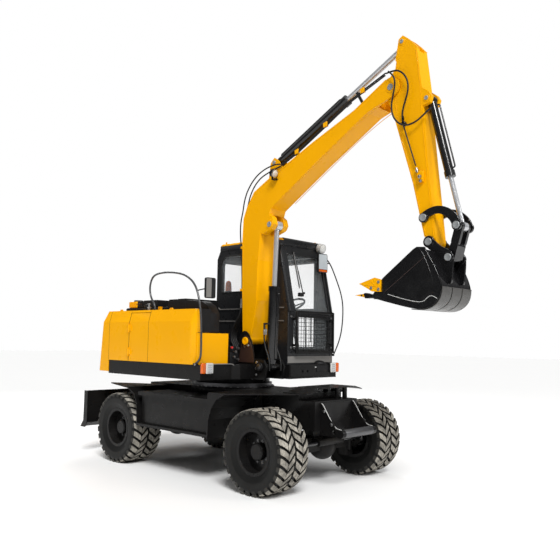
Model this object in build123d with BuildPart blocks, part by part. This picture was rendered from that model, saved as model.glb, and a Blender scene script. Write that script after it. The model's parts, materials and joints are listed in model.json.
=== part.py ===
from build123d import *
from math import atan2, degrees, hypot, radians, tan
import os

os.makedirs("parts", exist_ok=True)

# A wheeled excavator. X runs forward, Y to the left, Z up from the ground, in millimetres.
# Every outline below is measured from the slew axis, which stands at slew_x in the machine's frame.

# Working arm: pins as (X, Z), all on one centre plane
arm_y = -100
boom_w = 262
stick_w = 200
ear_t = 30
bucket_w = 572
foot = (480, 1596)
boom_base = (770, 1262)
boom_eye = (836, 2959)
elbow = (2560, 4204)
arm_base = (853, 3720)
arm_eye = (2678, 4668)
tip = (2996, 2550)
rocker_pin = (2937, 2793)
rocker_end = (3293, 2682)
rocker_eye_r = 50
link_pin = (3205, 2384)
bucket_base = (2964, 3998)
bucket_back = 3224
lip = (2434, 2019)
mouth = (2573, 2208)         # the side plates' front edge runs up from the lip to here

# Reach of the whole machine from the slew axis
rear_reach = 1980            # cutting edge of the blade
front_reach = rocker_end[0] + rocker_eye_r
slew_x = (rear_reach - front_reach) / 2
half_width = 1040            # chassis sides and tyre shoulders

# Clearances
running = 0.05               # radial, pin in its bore
seat = 0.3                   # between faces that slide past each other
swing_gap = 6                # between a panel and the opening it swings out of
fork_gap = 5                 # beside a plate that turns in a fork

# Hinges of doors
hinge_pin_r = 6
hinge_r = 10
hinge_out = hinge_r + 0.5    # hinge axis outside the panel face
hinge_half = 55              # half height of a whole hinge
leaf_half = 34

# Wheels
tyre_r = 437.5
tyre_w = 418
rim_r = 222                  # bead seat
rim_flange_r = 241
rim_wall = 16
rim_half_w = 178
disc_y = 48                  # wheel disc, outward of the wheel's centre plane
hub_r = 88
hub_out = 132                # hub cap, outward of the wheel's centre plane
hub_in = -60
spindle_r = 55
wheel_y = half_width - tyre_w / 2
front_axle_x = 1420
rear_axle_x = -1068
kingpin_y = 570
kingpin_r = 26
post_r = 48                  # knuckle's post around the kingpin
yoke_r = 56
axle_half = 88               # half height and half depth of the axle beams
diff_r = 165
steer_arm = 190              # from the kingpin forward to the rod's eye
steer_z = 470
steer_rod_r = 18
steer_barrel_r = 36

# Chassis
deck_z = 1000
deck_t = 14
deck_front_x = 1470
deck_front_half = 400
sill_z = 510                 # underside of the side boxes
box_top = 925
box_front_x = 740
box_rear_x = -600
belly_z = 600
belly_half = 420
frame_rear_x = -1200
neck_half = 368
neck_front_x = 1700
neck_top = 930
cheek_y = 262
cheek_t = 24
nose_x = 1985
nose_z = 612
nose_r = 42
lash_r = 21                  # lashing eyes through the cheeks

# Slew ring
ring_r = 500
ring_bore = 385
ring_seat_rim = 30           # round seat on the chassis, wider than the ring
ring_h = 42
upper_ring_r = 470
platform_z = 1112
platform_top = 1285

# Upper structure
tail_x = -1560               # lowest rear edge
hood_y = 1000
platform_y = 990
crease_z = 1780              # above it the hood's side leans in
hood_top = 1925
lean = 40
hood_rear_x = -1350
hood_front_x = 420
hood_in_y = 760
hood_nose_r = 90
panel_t = 25
box_hood_x = 304             # rear face of the front box
box_hood_top = 1650
box_hood_y = (-951, -470)
platform_front_right = 535
platform_front_left = 890

# Cab
cab_rear_x = -500
cab_front_x = 830
cab_top_front_x = 655
cab_right_y = 120
cab_left_y = 985
cab_knee_z = 1950
cab_roof_z = 2780
roof_top = 2870
cab_wall = 46
glass_t = 6
cab_mid_y = (cab_right_y + cab_left_y) / 2

# Blade
blade_pivot = (-1285, 560)
blade_base = (-1262, 872)
blade_eye = (-1610, 520)
blade_low = 360
blade_high = 850
blade_half = 1000
blade_pin_r = 24


def side(y):
    # plane that looks from the right: local X forward, local Y up, extrusions go to the right
    return Plane(origin=(slew_x, y, 0), x_dir=(1, 0, 0), z_dir=(0, -1, 0))


def plan(z):
    return Plane(origin=(slew_x, 0, z), x_dir=(1, 0, 0), z_dir=(0, 0, 1))


def section(x):
    # plane that looks from the front: local X to the left, local Y up, extrusions go forward
    return Plane(origin=(slew_x + x, 0, 0), x_dir=(0, 1, 0), z_dir=(1, 0, 0))


def pair(hand, near, far):
    # lowest and highest Y of a stretch between two distances out on one side
    return min(hand * near, hand * far), max(hand * near, hand * far)


def off_arm(hand, near, far):
    # the same, measured from the working arm's centre plane
    low, high = pair(hand, near, far)
    return arm_y + low, arm_y + high


def along(start, end, distance):
    span = hypot(end[0] - start[0], end[1] - start[1])
    share = distance / span
    return (start[0] + (end[0] - start[0]) * share, start[1] + (end[1] - start[1]) * share)


def slab(points, y_low, y_high, mode=Mode.ADD):
    with BuildSketch(side(y_high)) as shape:
        with BuildLine():
            Polyline(*points, close=True)
        make_face()
    extrude(shape.sketch, amount=y_high - y_low, mode=mode)


def layer(points, z_low, z_high, mode=Mode.ADD):
    with BuildSketch(plan(z_low)) as shape:
        with BuildLine():
            Polyline(*points, close=True)
        make_face()
    extrude(shape.sketch, amount=z_high - z_low, mode=mode)


def run(points, x_low, x_high, mode=Mode.ADD):
    # section drawn in (Y, Z) and run forward
    with BuildSketch(section(x_low)) as shape:
        with BuildLine():
            Polyline(*points, close=True)
        make_face()
    extrude(shape.sketch, amount=x_high - x_low, mode=mode)


def block(x_low, x_high, y_low, y_high, z_low, z_high, mode=Mode.ADD):
    corners = [(x_low, y_low), (x_high, y_low), (x_high, y_high), (x_low, y_high)]
    layer(corners, z_low, z_high, mode)


def drum(place, r, y_low, y_high, mode=Mode.ADD):
    with BuildSketch(side(y_high)) as shape:
        with Locations(place):
            Circle(r)
    extrude(shape.sketch, amount=y_high - y_low, mode=mode)


def post(x, y, r, z_low, z_high, mode=Mode.ADD):
    with BuildSketch(plan(z_low)) as shape:
        with Locations((x, y)):
            Circle(r)
    extrude(shape.sketch, amount=z_high - z_low, mode=mode)


def window(x, width, height, z, corner, depth, mode=Mode.SUBTRACT):
    # rounded opening through a cross wall, centred on the cab
    with BuildSketch(section(x)) as shape:
        with Locations((cab_mid_y, z)):
            RectangleRounded(width, height, corner)
    extrude(shape.sketch, amount=depth, mode=mode)


def bowl(x, y, z, r):
    # rounded differential housing, flattened across the machine
    with BuildSketch(section(x)) as shape:
        with BuildLine():
            ThreePointArc((y - 0.9 * r, z), (y, z + r), (y + 0.9 * r, z))
            Line((y + 0.9 * r, z), (y - 0.9 * r, z))
        make_face()
    revolve(shape.sketch, axis=Axis((slew_x + x, 0, z), (0, 1, 0)))


def bar(start, end, half, y_low, y_high, mode=Mode.ADD):
    # straight flat bar with round ends, seen from the side
    middle = ((start[0] + end[0]) / 2, (start[1] + end[1]) / 2)
    turn = degrees(atan2(end[1] - start[1], end[0] - start[0]))
    length = hypot(end[0] - start[0], end[1] - start[1])
    with BuildSketch(side(y_high)) as shape:
        with Locations(middle):
            SlotCenterToCenter(length, 2 * half, rotation=turn)
    extrude(shape.sketch, amount=y_high - y_low, mode=mode)


def rod(start, end, r, mode=Mode.ADD):
    # round bar between two (X, Y, Z) points
    ahead = Vector(*end) - Vector(*start)
    with BuildSketch(Plane(origin=Vector(*start) + Vector(slew_x, 0, 0), z_dir=ahead)) as shape:
        Circle(r)
    extrude(shape.sketch, amount=ahead.length, mode=mode)


def tube(start, end, r, y, mode=Mode.ADD):
    # round bar in the centre plane y, between two (X, Z) points
    rod((start[0], y, start[1]), (end[0], y, end[1]), r, mode)


def pipe(points, r, bend):
    # round tube along straight runs joined by arcs, through (X, Y, Z) points
    with BuildLine() as route:
        FilletPolyline(*[(slew_x + x, y, z) for x, y, z in points], radius=bend)
    with BuildSketch(Plane(origin=route.line @ 0, z_dir=route.line % 0)) as ring:
        Circle(r)
    sweep(ring.sketch, path=route.line)


def hose(points, r):
    # flexible line: each corner's arc is as large as its two runs allow
    stops = [Vector(*point) for point in points]
    radii = []
    for before, here, after in zip(stops, stops[1:], stops[2:]):
        turn = radians((here - before).get_angle(after - here))
        shorter = min((here - before).length, (after - here).length)
        radii.append(0.45 * shorter / tan(turn / 2))
    print("hose radii", [round(radius) for radius in radii])
    pipe(points, r, radii)


def beside(start, end, distance, off):
    # (X, Z) point at a distance along the line from start to end, and off to its left
    on_line = along(start, end, distance)
    span = hypot(end[0] - start[0], end[1] - start[1])
    left = ((start[1] - end[1]) / span, (end[0] - start[0]) / span)
    return (on_line[0] + left[0] * off, on_line[1] + left[1] * off)


def hinge_frame(x, hand, face_y, z):
    # pin and two lugs on the frame; the pin stands just outside the face
    y = hand * (face_y + hinge_out)
    post(x, y, hinge_pin_r, z - hinge_half, z + hinge_half)
    for low, high in ((z - hinge_half, z - leaf_half - 1), (z + leaf_half + 1, z + hinge_half)):
        post(x, y, hinge_r, low, high)
        block(x - 50, x, *pair(hand, face_y - 2, face_y + hinge_out), low, high)


def hinge_leaf(x, hand, face_y, z):
    # knuckle on the door
    y = hand * (face_y + hinge_out)
    post(x, y, hinge_r, z - leaf_half, z + leaf_half)
    block(x, x + 50, *pair(hand, face_y - 2, face_y + hinge_out), z - leaf_half, z + leaf_half)
    post(x, y, hinge_pin_r + running, z - hinge_half, z + hinge_half, Mode.SUBTRACT)


def save(piece, name):
    piece.part.label = name
    export_step(piece.part, f"parts/{name}.step")


# ---------------------------------------------------------------- running gear
wheels = [
    # name, axle position, side (+1 left, -1 right)
    ("front_left", front_axle_x, 1),
    ("front_right", front_axle_x, -1),
    ("rear_left", rear_axle_x, 1),
    ("rear_right", rear_axle_x, -1),
]

tyre_section = [
    (-rim_half_w + 12, rim_r), (-rim_half_w + 2, rim_flange_r), (-tyre_w / 2 + 6, 310),
    (-tyre_w / 2, 385), (-tyre_w / 2 + 10, tyre_r - 16), (-tyre_w / 2 + 46, tyre_r),
]

inner_r = rim_r - rim_wall
rim_section = [
    (-rim_half_w, rim_flange_r), (-rim_half_w + 2, rim_flange_r), (-rim_half_w + 12, rim_r),
    (rim_half_w - 12, rim_r), (rim_half_w - 2, rim_flange_r), (rim_half_w, rim_flange_r),
    (rim_half_w, inner_r), (disc_y + 16, inner_r), (disc_y + 16, hub_r), (hub_out - 10, hub_r),
    (hub_out, hub_r - 14), (hub_out, 0), (disc_y, 0), (disc_y, spindle_r + running),
    (hub_in, spindle_r + running), (hub_in, hub_r + 22), (disc_y - 30, hub_r + 22),
    (disc_y, inner_r), (-rim_half_w, inner_r),
]

for name, axle_x, hand in wheels:
    axis = Axis((slew_x + axle_x, 0, tyre_r), (0, 1, 0))
    with BuildPart() as tyre:
        with BuildSketch(section(axle_x)):
            with BuildLine():
                outer_half = [(hand * wheel_y + y, tyre_r + r) for y, r in tyre_section]
                inner_half = [(hand * wheel_y - y, tyre_r + r) for y, r in reversed(tyre_section)]
                Polyline(*outer_half, *inner_half, close=True)
            make_face()
        revolve(axis=axis)
    save(tyre, f"tyre_{name}")

    with BuildPart() as rim:
        with BuildSketch(section(axle_x)):
            with BuildLine():
                Polyline(*[(hand * (wheel_y + y), tyre_r + r) for y, r in rim_section], close=True)
            make_face()
        revolve(axis=axis)
    save(rim, f"rim_{name}")

spindle_end = wheel_y + disc_y - seat
hub_face = wheel_y + hub_in - seat
flange_y = 650
flange_t = 16
yoke_low = 292
yoke_high = 583
yoke_t = 42
arm_plate_t = 24
eye_low = steer_z - 20
eye_high = steer_z + 15

for name, axle_x, hand in wheels[:2]:
    with BuildPart() as knuckle:
        pin_y = hand * kingpin_y
        post(axle_x, pin_y, post_r, yoke_low + seat, yoke_high - seat)
        post(axle_x, pin_y, kingpin_r, yoke_low - yoke_t, yoke_high + yoke_t)
        drum((axle_x, tyre_r), spindle_r, *pair(hand, kingpin_y, spindle_end))
        drum((axle_x, tyre_r), 118, *pair(hand, flange_y, flange_y + flange_t))
        drum((axle_x, tyre_r), hub_r, *pair(hand, flange_y + flange_t, hub_face))
        # steering arm, just under the rod's eye
        arm_top = eye_low - seat
        block(axle_x, axle_x + steer_arm, pin_y - 18, pin_y + 18, arm_top - arm_plate_t, arm_top)
        post(axle_x + steer_arm, pin_y, 24, arm_top - arm_plate_t, arm_top)
    save(knuckle, "knuckle_left" if hand > 0 else "knuckle_right")

steer_x = front_axle_x + steer_arm
steer_barrel_half = 210
with BuildPart() as front_axle:
    beam_low = tyre_r - axle_half + 10
    beam_high = tyre_r + axle_half - 10
    block(front_axle_x - axle_half, front_axle_x + axle_half, -470, 470, beam_low, beam_high)
    bowl(front_axle_x, 90, tyre_r - 30, diff_r)
    block(front_axle_x - 70, front_axle_x + 70, -150, 150, tyre_r, belly_z + 20)
    for hand in (1, -1):
        for low, high in ((yoke_low - yoke_t, yoke_low), (yoke_high, yoke_high + yoke_t)):
            post(front_axle_x, hand * kingpin_y, yoke_r, low, high)
            stretch = pair(hand, 465, kingpin_y)
            block(front_axle_x - yoke_r, front_axle_x + yoke_r, *stretch, low, high)
        stretch = pair(hand, 460, 502)
        block(front_axle_x - yoke_r, front_axle_x + yoke_r, *stretch, yoke_low - yoke_t, yoke_high + yoke_t)
        bore = (yoke_low - yoke_t - 10, yoke_high + yoke_t + 10)
        post(front_axle_x, hand * kingpin_y, kingpin_r + running, *bore, Mode.SUBTRACT)
        # steering cylinder's bracket
        block(front_axle_x + axle_half - 5, steer_x, *pair(hand, 150, 180), steer_z - 30, steer_z + 30)
    drum((steer_x, steer_z), steer_barrel_r, -steer_barrel_half, steer_barrel_half)
    bore_half = steer_barrel_half + 5
    drum((steer_x, steer_z), steer_rod_r + running, -bore_half, bore_half, Mode.SUBTRACT)
save(front_axle, "front_axle")

with BuildPart() as steering_rod:
    drum((steer_x, steer_z), steer_rod_r, -kingpin_y, kingpin_y)
    for hand in (1, -1):
        post(steer_x, hand * kingpin_y, 24, eye_low, eye_high)
save(steering_rod, "steering_rod")

with BuildPart() as rear_axle:
    block(rear_axle_x - axle_half, rear_axle_x + axle_half, -560, 560, beam_low, beam_high)
    bowl(rear_axle_x, -40, tyre_r - 10, diff_r)
    for hand in (1, -1):
        drum((rear_axle_x, tyre_r), spindle_r, *pair(hand, 540, spindle_end))
        drum((rear_axle_x, tyre_r), 110, *pair(hand, 560, hub_face))
        block(rear_axle_x - 60, rear_axle_x + 60, *pair(hand, 240, 360), tyre_r, belly_z)
save(rear_axle, "rear_axle")

# --------------------------------------------------------------------- chassis
under_deck = deck_z - deck_t
with BuildPart() as chassis_frame:
    # centre box, neck, deck plate and the round seat of the slew ring
    block(frame_rear_x, 950, -belly_half, belly_half, belly_z, under_deck)
    block(900, deck_front_x, -neck_half, neck_half, belly_z + 20, under_deck)
    block(deck_front_x - 10, neck_front_x, -neck_half, neck_half, belly_z + 20, neck_top)
    deck = [
        (box_front_x, half_width), (1000, half_width), (deck_front_x, deck_front_half),
        (deck_front_x, -deck_front_half), (1000, -half_width), (box_front_x, -half_width),
    ]
    layer(deck, under_deck, deck_z)
    post(0, 0, ring_r + ring_seat_rim, box_top, deck_z)
    for hand in (1, -1):
        # blade brackets, and the lugs of the blade cylinder
        ear = [
            (frame_rear_x, 930), (frame_rear_x, 480), (blade_pivot[0] - 60, 480),
            (blade_pivot[0] - 60, 640), (blade_base[0] - 60, 800), (blade_base[0] - 60, 930),
        ]
        slab(ear, *pair(hand, 205, 235))
        drum(blade_pivot, blade_pin_r + running, *pair(hand, 200, 240), Mode.SUBTRACT)
        lug_x = blade_base[0] - 40
        lug = [(frame_rear_x, 950), (frame_rear_x, 780), (lug_x, 830), (lug_x, 925)]
        slab(lug, *pair(hand, 48, 70))
        drum(blade_base, 20, *pair(hand, 0, 70))
save(chassis_frame, "chassis_frame")

arch = [
    (box_front_x, sill_z - 20), (box_front_x + 8, 700), (box_front_x + 55, 830),
    (box_front_x + 140, 930), (1000, under_deck),
]
rear_arch = [
    (box_rear_x, sill_z), (box_rear_x - 15, 760), (box_rear_x - 80, 880),
    (box_rear_x - 220, 950), (frame_rear_x, under_deck),
]
with BuildPart() as wheel_arches:
    for hand in (1, -1):
        reach = pair(hand, belly_half, half_width)
        front_skin = arch + [(box_front_x + 100, under_deck), (box_front_x - deck_t, under_deck)]
        edge = pair(hand, half_width - 12, half_width)
        slab(front_skin + [(box_front_x - deck_t, sill_z - 20)], *edge)
        thin = arch + [(x - 4, z + deck_t) for x, z in reversed(arch[1:-1])]
        slab(thin + [(box_front_x - deck_t, sill_z - 20)], *reach)
        thick = rear_arch + [(x + 4, z + deck_t) for x, z in reversed(rear_arch[1:])]
        slab(thick + [(box_rear_x + deck_t, sill_z)], *reach)
        # the wing is cut back to its plan shape
        wing = [
            (frame_rear_x - 60, hand * belly_half), (-900, hand * belly_half),
            (frame_rear_x, hand * (half_width + 1)), (frame_rear_x - 60, hand * (half_width + 60)),
        ]
        layer(wing, 930, 1030, Mode.SUBTRACT)
save(wheel_arches, "wheel_arches")

web_y = half_width - 60      # the side boxes' recessed face
web_t = 55
plate_t = 8
plate_line = [(-420, deck_z), (-330, deck_z + 4), (-170, 1052), (430, 1056), (560, 1024)]
with BuildPart() as side_boxes:
    x_low = box_rear_x + deck_t
    x_high = box_front_x - deck_t
    for hand in (1, -1):
        block(x_low, x_high, *pair(hand, web_y - web_t, web_y), sill_z, box_top)
        for z_low, z_high in ((sill_z, sill_z + 30), (box_top - 44, box_top)):
            block(x_low, x_high, *pair(hand, web_y - 5, half_width), z_low, z_high)
        block(x_low, x_high, *pair(hand, ring_r + ring_seat_rim, web_y), box_top - deck_t, box_top)
    # raised plate on rubber pads, in front of the slew ring
    under_line = [(y, z + plate_t) for y, z in reversed(plate_line)]
    run(plate_line + under_line, deck_front_x - 190, deck_front_x + 160)
    for x, floor_z in ((deck_front_x - 80, deck_z), (deck_front_x + 90, neck_top)):
        for y in (180, 320):
            post(x, y, 28, floor_z, 1058)
save(side_boxes, "side_boxes")

with BuildPart() as nose_frame:
    for hand in (1, -1):
        cheek = [
            (neck_front_x, 915), (neck_front_x + 22, 905), (nose_x - 155, 760), (nose_x - 60, 655),
            (nose_x, nose_z + nose_r - 4), (nose_x, nose_z - nose_r + 4), (neck_front_x, 575),
        ]
        band = pair(hand, cheek_y, cheek_y + cheek_t)
        slab(cheek, *band)
        drum((nose_x - 95, nose_z + 10), lash_r, *band, Mode.SUBTRACT)
    block(neck_front_x, neck_front_x + 10, -cheek_y, cheek_y, belly_z, 915)
    tube_half = cheek_y + cheek_t + 8
    drum((nose_x, nose_z), nose_r, -tube_half, tube_half)
save(nose_frame, "nose_frame")

with BuildPart() as slew_ring:
    post(0, 0, ring_r, deck_z, deck_z + ring_h)
    post(0, 0, ring_bore, deck_z, deck_z + ring_h, Mode.SUBTRACT)
save(slew_ring, "slew_ring")

# ----------------------------------------------------------------------- blade
edge_x = -rear_reach
blade_face_x = edge_x + 130
blade_arm_y = 170
with BuildPart() as blade:
    back = [
        (blade_face_x + 5, blade_high), (blade_face_x + 28, 700), (blade_face_x + 28, 560),
        (blade_face_x, blade_low + 60), (edge_x + 30, blade_low),
    ]
    front = [
        (edge_x, blade_low), (edge_x + 95, blade_low + 80), (blade_face_x, 600),
        (blade_face_x - 12, blade_high),
    ]
    slab(back + front, -blade_half, blade_half)
    for hand in (1, -1):
        end_plate = [
            (blade_face_x + 35, blade_high), (blade_face_x + 35, blade_low + 50),
            (blade_face_x - 12, blade_low), (edge_x + 6, blade_low), (edge_x + 75, blade_low + 90),
            (edge_x + 80, blade_high),
        ]
        slab(end_plate, *pair(hand, blade_half, blade_half + 12))
        arm_band = pair(hand, blade_arm_y - 35, blade_arm_y + 30)
        pivot_x, pivot_z = blade_pivot
        lift_arm = [
            (blade_face_x + 20, 640), (-1640, 600), (pivot_x + 10, pivot_z + 62),
            (pivot_x + 10, pivot_z - 62), (-1640, 450), (blade_face_x + 20, 440),
        ]
        slab(lift_arm, *arm_band)
        drum(blade_pivot, 62, *arm_band)
        eye_lug = [
            (-1700, 455), (-1700, 540), (blade_eye[0] - 20, blade_eye[1] + 40),
            (blade_eye[0] + 38, blade_eye[1]), (blade_eye[0] + 20, 455),
        ]
        slab(eye_lug, *pair(hand, 36, 58))
    block(-1760, -1690, -blade_arm_y, blade_arm_y, 455, 545)
    drum(blade_pivot, blade_pin_r, -240, 240)
save(blade, "blade")


line_r = 8                   # steel oil lines


def cylinder(base, eye, y, barrel_len, barrel_r, rod_r, rod_inside, eye_r, eye_w, pin_r, line_off):
    # one hydraulic cylinder: the barrel with its steel line, then its rod
    neck_at = along(base, eye, barrel_len)
    with BuildPart() as barrel:
        drum(base, eye_r, y - eye_w / 2, y + eye_w / 2)
        tube(along(base, eye, eye_r * 0.6), neck_at, barrel_r, y)
        tube(along(base, eye, barrel_len - 60), neck_at, barrel_r + 7, y)
        drum(base, pin_r + running, y - eye_w, y + eye_w, Mode.SUBTRACT)
        hole_end = along(base, eye, barrel_len + 5)
        tube(along(base, eye, eye_r + 20), hole_end, rod_r + running, y, Mode.SUBTRACT)
        if line_off:
            near = 0.85 * barrel_r if line_off > 0 else -0.85 * barrel_r
            line = []
            for distance, off in ((eye_r + 30, near), (eye_r + 30, line_off),
                                  (barrel_len - 80, line_off), (barrel_len - 80, near)):
                x, z = beside(base, eye, distance, off)
                line.append((x, y, z))
            pipe(line, line_r, 2 * line_r)
    with BuildPart() as ram:
        tube(along(base, eye, barrel_len - rod_inside), along(eye, base, eye_r * 0.5), rod_r, y)
        drum(eye, eye_r, y - eye_w / 2, y + eye_w / 2)
    return barrel, ram


lift_pin_r = 32
cylinders = [
    # name, base, eye, centre plane, barrel length and radius, rod radius, rod inside the barrel,
    # eye radius and width, base pin radius, steel line's distance to the left of the axis
    ("blade_cylinder", blade_base, blade_eye, 0, 330, 42, 24, 200, 34, 68, 20, 0),
    ("boom_cylinder", boom_base, boom_eye, arm_y, 960, 63, 30, 170, 58, 92, lift_pin_r, -84),
    ("arm_cylinder", arm_base, arm_eye, arm_y, 1190, 55, 30, 330, 50, 80, 26, 78),
    ("bucket_cylinder", bucket_base, rocker_end, arm_y, 840, 45, 25, 260, 46, 70, 24, 72),
]
for name, *sizes in cylinders:
    barrel, ram = cylinder(*sizes)
    save(barrel, f"{name}_barrel")
    save(ram, f"{name}_rod")

# ------------------------------------------------------------- upper structure
ear_y = boom_w / 2 + fork_gap
boom_pin_r = 34
with BuildPart() as platform:
    outline = [
        (hood_rear_x, -platform_y), (platform_front_right, -platform_y),
        (platform_front_right, -520), (600, -440), (600, 60), (platform_front_left, 100),
        (platform_front_left, platform_y), (hood_rear_x, platform_y),
    ]
    layer(outline, platform_z, platform_top)
    post(0, 0, upper_ring_r, deck_z + ring_h + seat, platform_z)
    for hand in (1, -1):
        near, far = off_arm(hand, ear_y, ear_y + ear_t)
        ear = [
            (250, platform_z), (foot[0] - 140, 1345), (foot[0] - 70, foot[1]), (foot[0], foot[1]),
            (foot[0] + 70, foot[1]), (foot[0] + 156, 1345), (boom_base[0] + 40, 1340),
            (boom_base[0] + 85, boom_base[1]), (boom_base[0] + 60, platform_z),
        ]
        slab(ear, near, far)
        drum(foot, 70, near, far)
    block(300, 560, arm_y - ear_y, arm_y + ear_y, platform_top, platform_top + 60)
    drum(foot, boom_pin_r, arm_y - ear_y - ear_t - 22, arm_y + ear_y + ear_t)
    drum(boom_base, lift_pin_r, arm_y - ear_y - ear_t - 22, arm_y + ear_y + ear_t)
save(platform, "platform")

hood_low = platform_top + seat
with BuildPart() as counterweight:
    tail = [
        (tail_x, 1135), (tail_x + 55, crease_z), (tail_x + 120, hood_top), (hood_rear_x - seat, hood_top),
        (hood_rear_x - seat, 1135),
    ]
    slab(tail, -hood_y, hood_y)
    for hand in (1, -1):
        lean_cut = [
            (hand * hood_y, crease_z), (hand * (hood_y - lean), hood_top),
            (hand * (hood_y - lean), hood_top + 1), (hand * (hood_y + 1), hood_top + 1),
        ]
        run(lean_cut, tail_x, hood_rear_x, Mode.SUBTRACT)
save(counterweight, "counterweight")

seam_x = (-893, -467)        # the service door lies between these seams
door_low = 1300
door_high = 1890
hinge_x = seam_x[0] + 3 + swing_gap / 2
hinge_zs = (1400, 1700)
lid_pin_r = 10
lid_pivot = (cab_rear_x - 45, hood_top + 27)


def hood_line(inset, z_low, z_high):
    # right side of the hood in (Y, Z), set in by inset
    share = max(z_high - crease_z, 0) / (hood_top - crease_z)
    out = -hood_y + inset
    return [(out, z_low), (out, crease_z), (out + lean * share, z_high)]


with BuildPart() as side_hood:
    run(hood_line(0, hood_low, hood_top) + [(-hood_in_y, hood_top), (-hood_in_y, hood_low)],
        hood_rear_x, hood_front_x)
    fillet(side_hood.edges().filter_by(Axis.Z).group_by(Axis.X)[-1].sort_by(Axis.Y)[0], hood_nose_r)
    fillet(side_hood.edges().group_by(Axis.Z)[-1].group_by(Axis.X)[-1], 30)
    hollow = hood_line(panel_t, hood_low - 1, hood_top - 40)
    far_y = -hood_in_y - panel_t
    run(hollow + [(far_y, hood_top - 40), (far_y, hood_low - 1)],
        hood_rear_x + panel_t, box_hood_x - 30, Mode.SUBTRACT)
    # room for the front box
    block(box_hood_x - seat, hood_front_x + 10, box_hood_y[0] - 4, -hood_in_y + 1,
          hood_low - 1, box_hood_top + 4, Mode.SUBTRACT)
    opening = hood_line(-1, door_low - swing_gap, door_high + swing_gap)
    inside = [(y + panel_t + 2, z) for y, z in reversed(opening)]
    run(opening + inside, seam_x[0] + 3, seam_x[1] - 3, Mode.SUBTRACT)
    for z in hinge_zs:
        hinge_frame(hinge_x, -1, hood_y, z)
    block(lid_pivot[0] - 25, lid_pivot[0] + 20, -hood_in_y - 30, -hood_in_y, hood_top - 45, lid_pivot[1] + 25)
    drum(lid_pivot, lid_pin_r + running, -hood_in_y - 40, -hood_in_y + 10, Mode.SUBTRACT)
save(side_hood, "side_hood")

with BuildPart() as service_door:
    face = hood_line(0, door_low, door_high)
    run(face + [(y + panel_t, z) for y, z in reversed(face)],
        seam_x[0] + 3 + swing_gap, seam_x[1] - 3 - swing_gap)
    for z in hinge_zs:
        hinge_leaf(hinge_x, -1, hood_y, z)
save(service_door, "service_door")

with BuildPart() as left_hood:
    x_high = cab_rear_x - 6
    block(hood_rear_x, x_high, 420, hood_y, hood_low, hood_top)
    fillet(left_hood.edges().filter_by(Axis.X).group_by(Axis.Z)[-1].sort_by(Axis.Y)[-1], 45)
    block(hood_rear_x + panel_t, x_high - panel_t, 420 + panel_t, hood_y - panel_t,
          hood_low - 1, hood_top - 50, Mode.SUBTRACT)
    block(lid_pivot[0] - 25, lid_pivot[0] + 20, 420, 450, hood_top - 45, lid_pivot[1] + 25)
    drum(lid_pivot, lid_pin_r + running, 410, 460, Mode.SUBTRACT)
save(left_hood, "left_hood")

with BuildPart() as engine_cover:
    block(hood_rear_x, cab_rear_x - 20, -hood_in_y + 8, 412, hood_top + 4, hood_top + 50)
    fillet(engine_cover.faces().sort_by(Axis.Z)[-1].edges(), 18)
    drum(lid_pivot, lid_pin_r, -hood_in_y - 25, 445)
save(engine_cover, "engine_cover")

with BuildPart() as engine_block:
    block(hood_rear_x + 40, cab_rear_x - 60, -400, 330, hood_low, hood_top - 70)
save(engine_block, "engine_block")

with BuildPart() as front_box:
    block(box_hood_x, hood_front_x + 8, *box_hood_y, hood_low, box_hood_top)
    fillet(front_box.edges().filter_by(Axis.Z).group_by(Axis.X)[-1], 24)
save(front_box, "front_box")

with BuildPart() as centre_cover:
    # black bulkhead in front of the engine, and the low cover between hood and cab
    block(cab_rear_x + 4, cab_rear_x + 44, -hood_in_y + 4, cab_right_y - 20, hood_low, hood_top)
    block(cab_rear_x + 44, 60, -hood_in_y + 4, cab_right_y - 20, hood_low, 1560)
save(centre_cover, "centre_cover")

# ------------------------------------------------------------------------- cab
cab_low = platform_top + seat
rear_rake = 60
rear_knee = cab_roof_z - 120
cab_side = [
    (cab_rear_x, cab_low), (cab_front_x, cab_low), (cab_front_x, cab_knee_z),
    (cab_top_front_x, cab_roof_z), (cab_rear_x + rear_rake, cab_roof_z), (cab_rear_x, rear_knee),
]
cab_inside = [
    (cab_rear_x + cab_wall, cab_low + cab_wall), (cab_front_x - cab_wall, cab_low + cab_wall),
    (cab_front_x - cab_wall, cab_knee_z - 4), (cab_top_front_x - cab_wall + 4, cab_roof_z - cab_wall),
    (cab_rear_x + rear_rake + cab_wall / 2, cab_roof_z - cab_wall),
    (cab_rear_x + cab_wall, rear_knee - cab_wall / 2),
]
cab_door_x = (-250, 600)
cab_door_z = (1345, 2690)
cab_hinge_zs = (1500, 2500)
pane_x = (cab_door_x[0] + 60, cab_door_x[1] - 60)
pane_zs = ((cab_door_z[0] + 70, 1930), (2000, cab_door_z[1] - 60))
right_window = [(-400, 2200), (560, 2200), (520, 2700), (-360, 2700), (-420, 2600)]
windscreen_size = (cab_left_y - cab_right_y - 150, 740, 2300, 60)
lower_size = (cab_left_y - cab_right_y - 190, 420, 1665, 40)
rear_size = (cab_left_y - cab_right_y - 200, 560, 2350, 60)
through_x = cab_top_front_x - 100

with BuildPart() as cab_frame:
    slab(cab_side, cab_right_y, cab_left_y)
    slab(cab_inside, cab_right_y + cab_wall, cab_left_y - cab_wall, Mode.SUBTRACT)
    slab(right_window, cab_right_y - 10, cab_right_y + cab_wall + 10, Mode.SUBTRACT)
    block(cab_door_x[0] - swing_gap, cab_door_x[1] + swing_gap, cab_left_y - cab_wall - 10,
          cab_left_y + 10, cab_door_z[0] - swing_gap, cab_door_z[1] + swing_gap, Mode.SUBTRACT)
    for width, height, z, corner in (windscreen_size, lower_size):
        window(through_x, width, height, z, corner, 400)
    width, height, z, corner = rear_size
    window(cab_rear_x - 20, width, height, z, corner, 100)
    for z in cab_hinge_zs:
        hinge_frame(cab_door_x[0] - swing_gap / 2, 1, cab_left_y, z)
save(cab_frame, "cab_frame")

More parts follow.
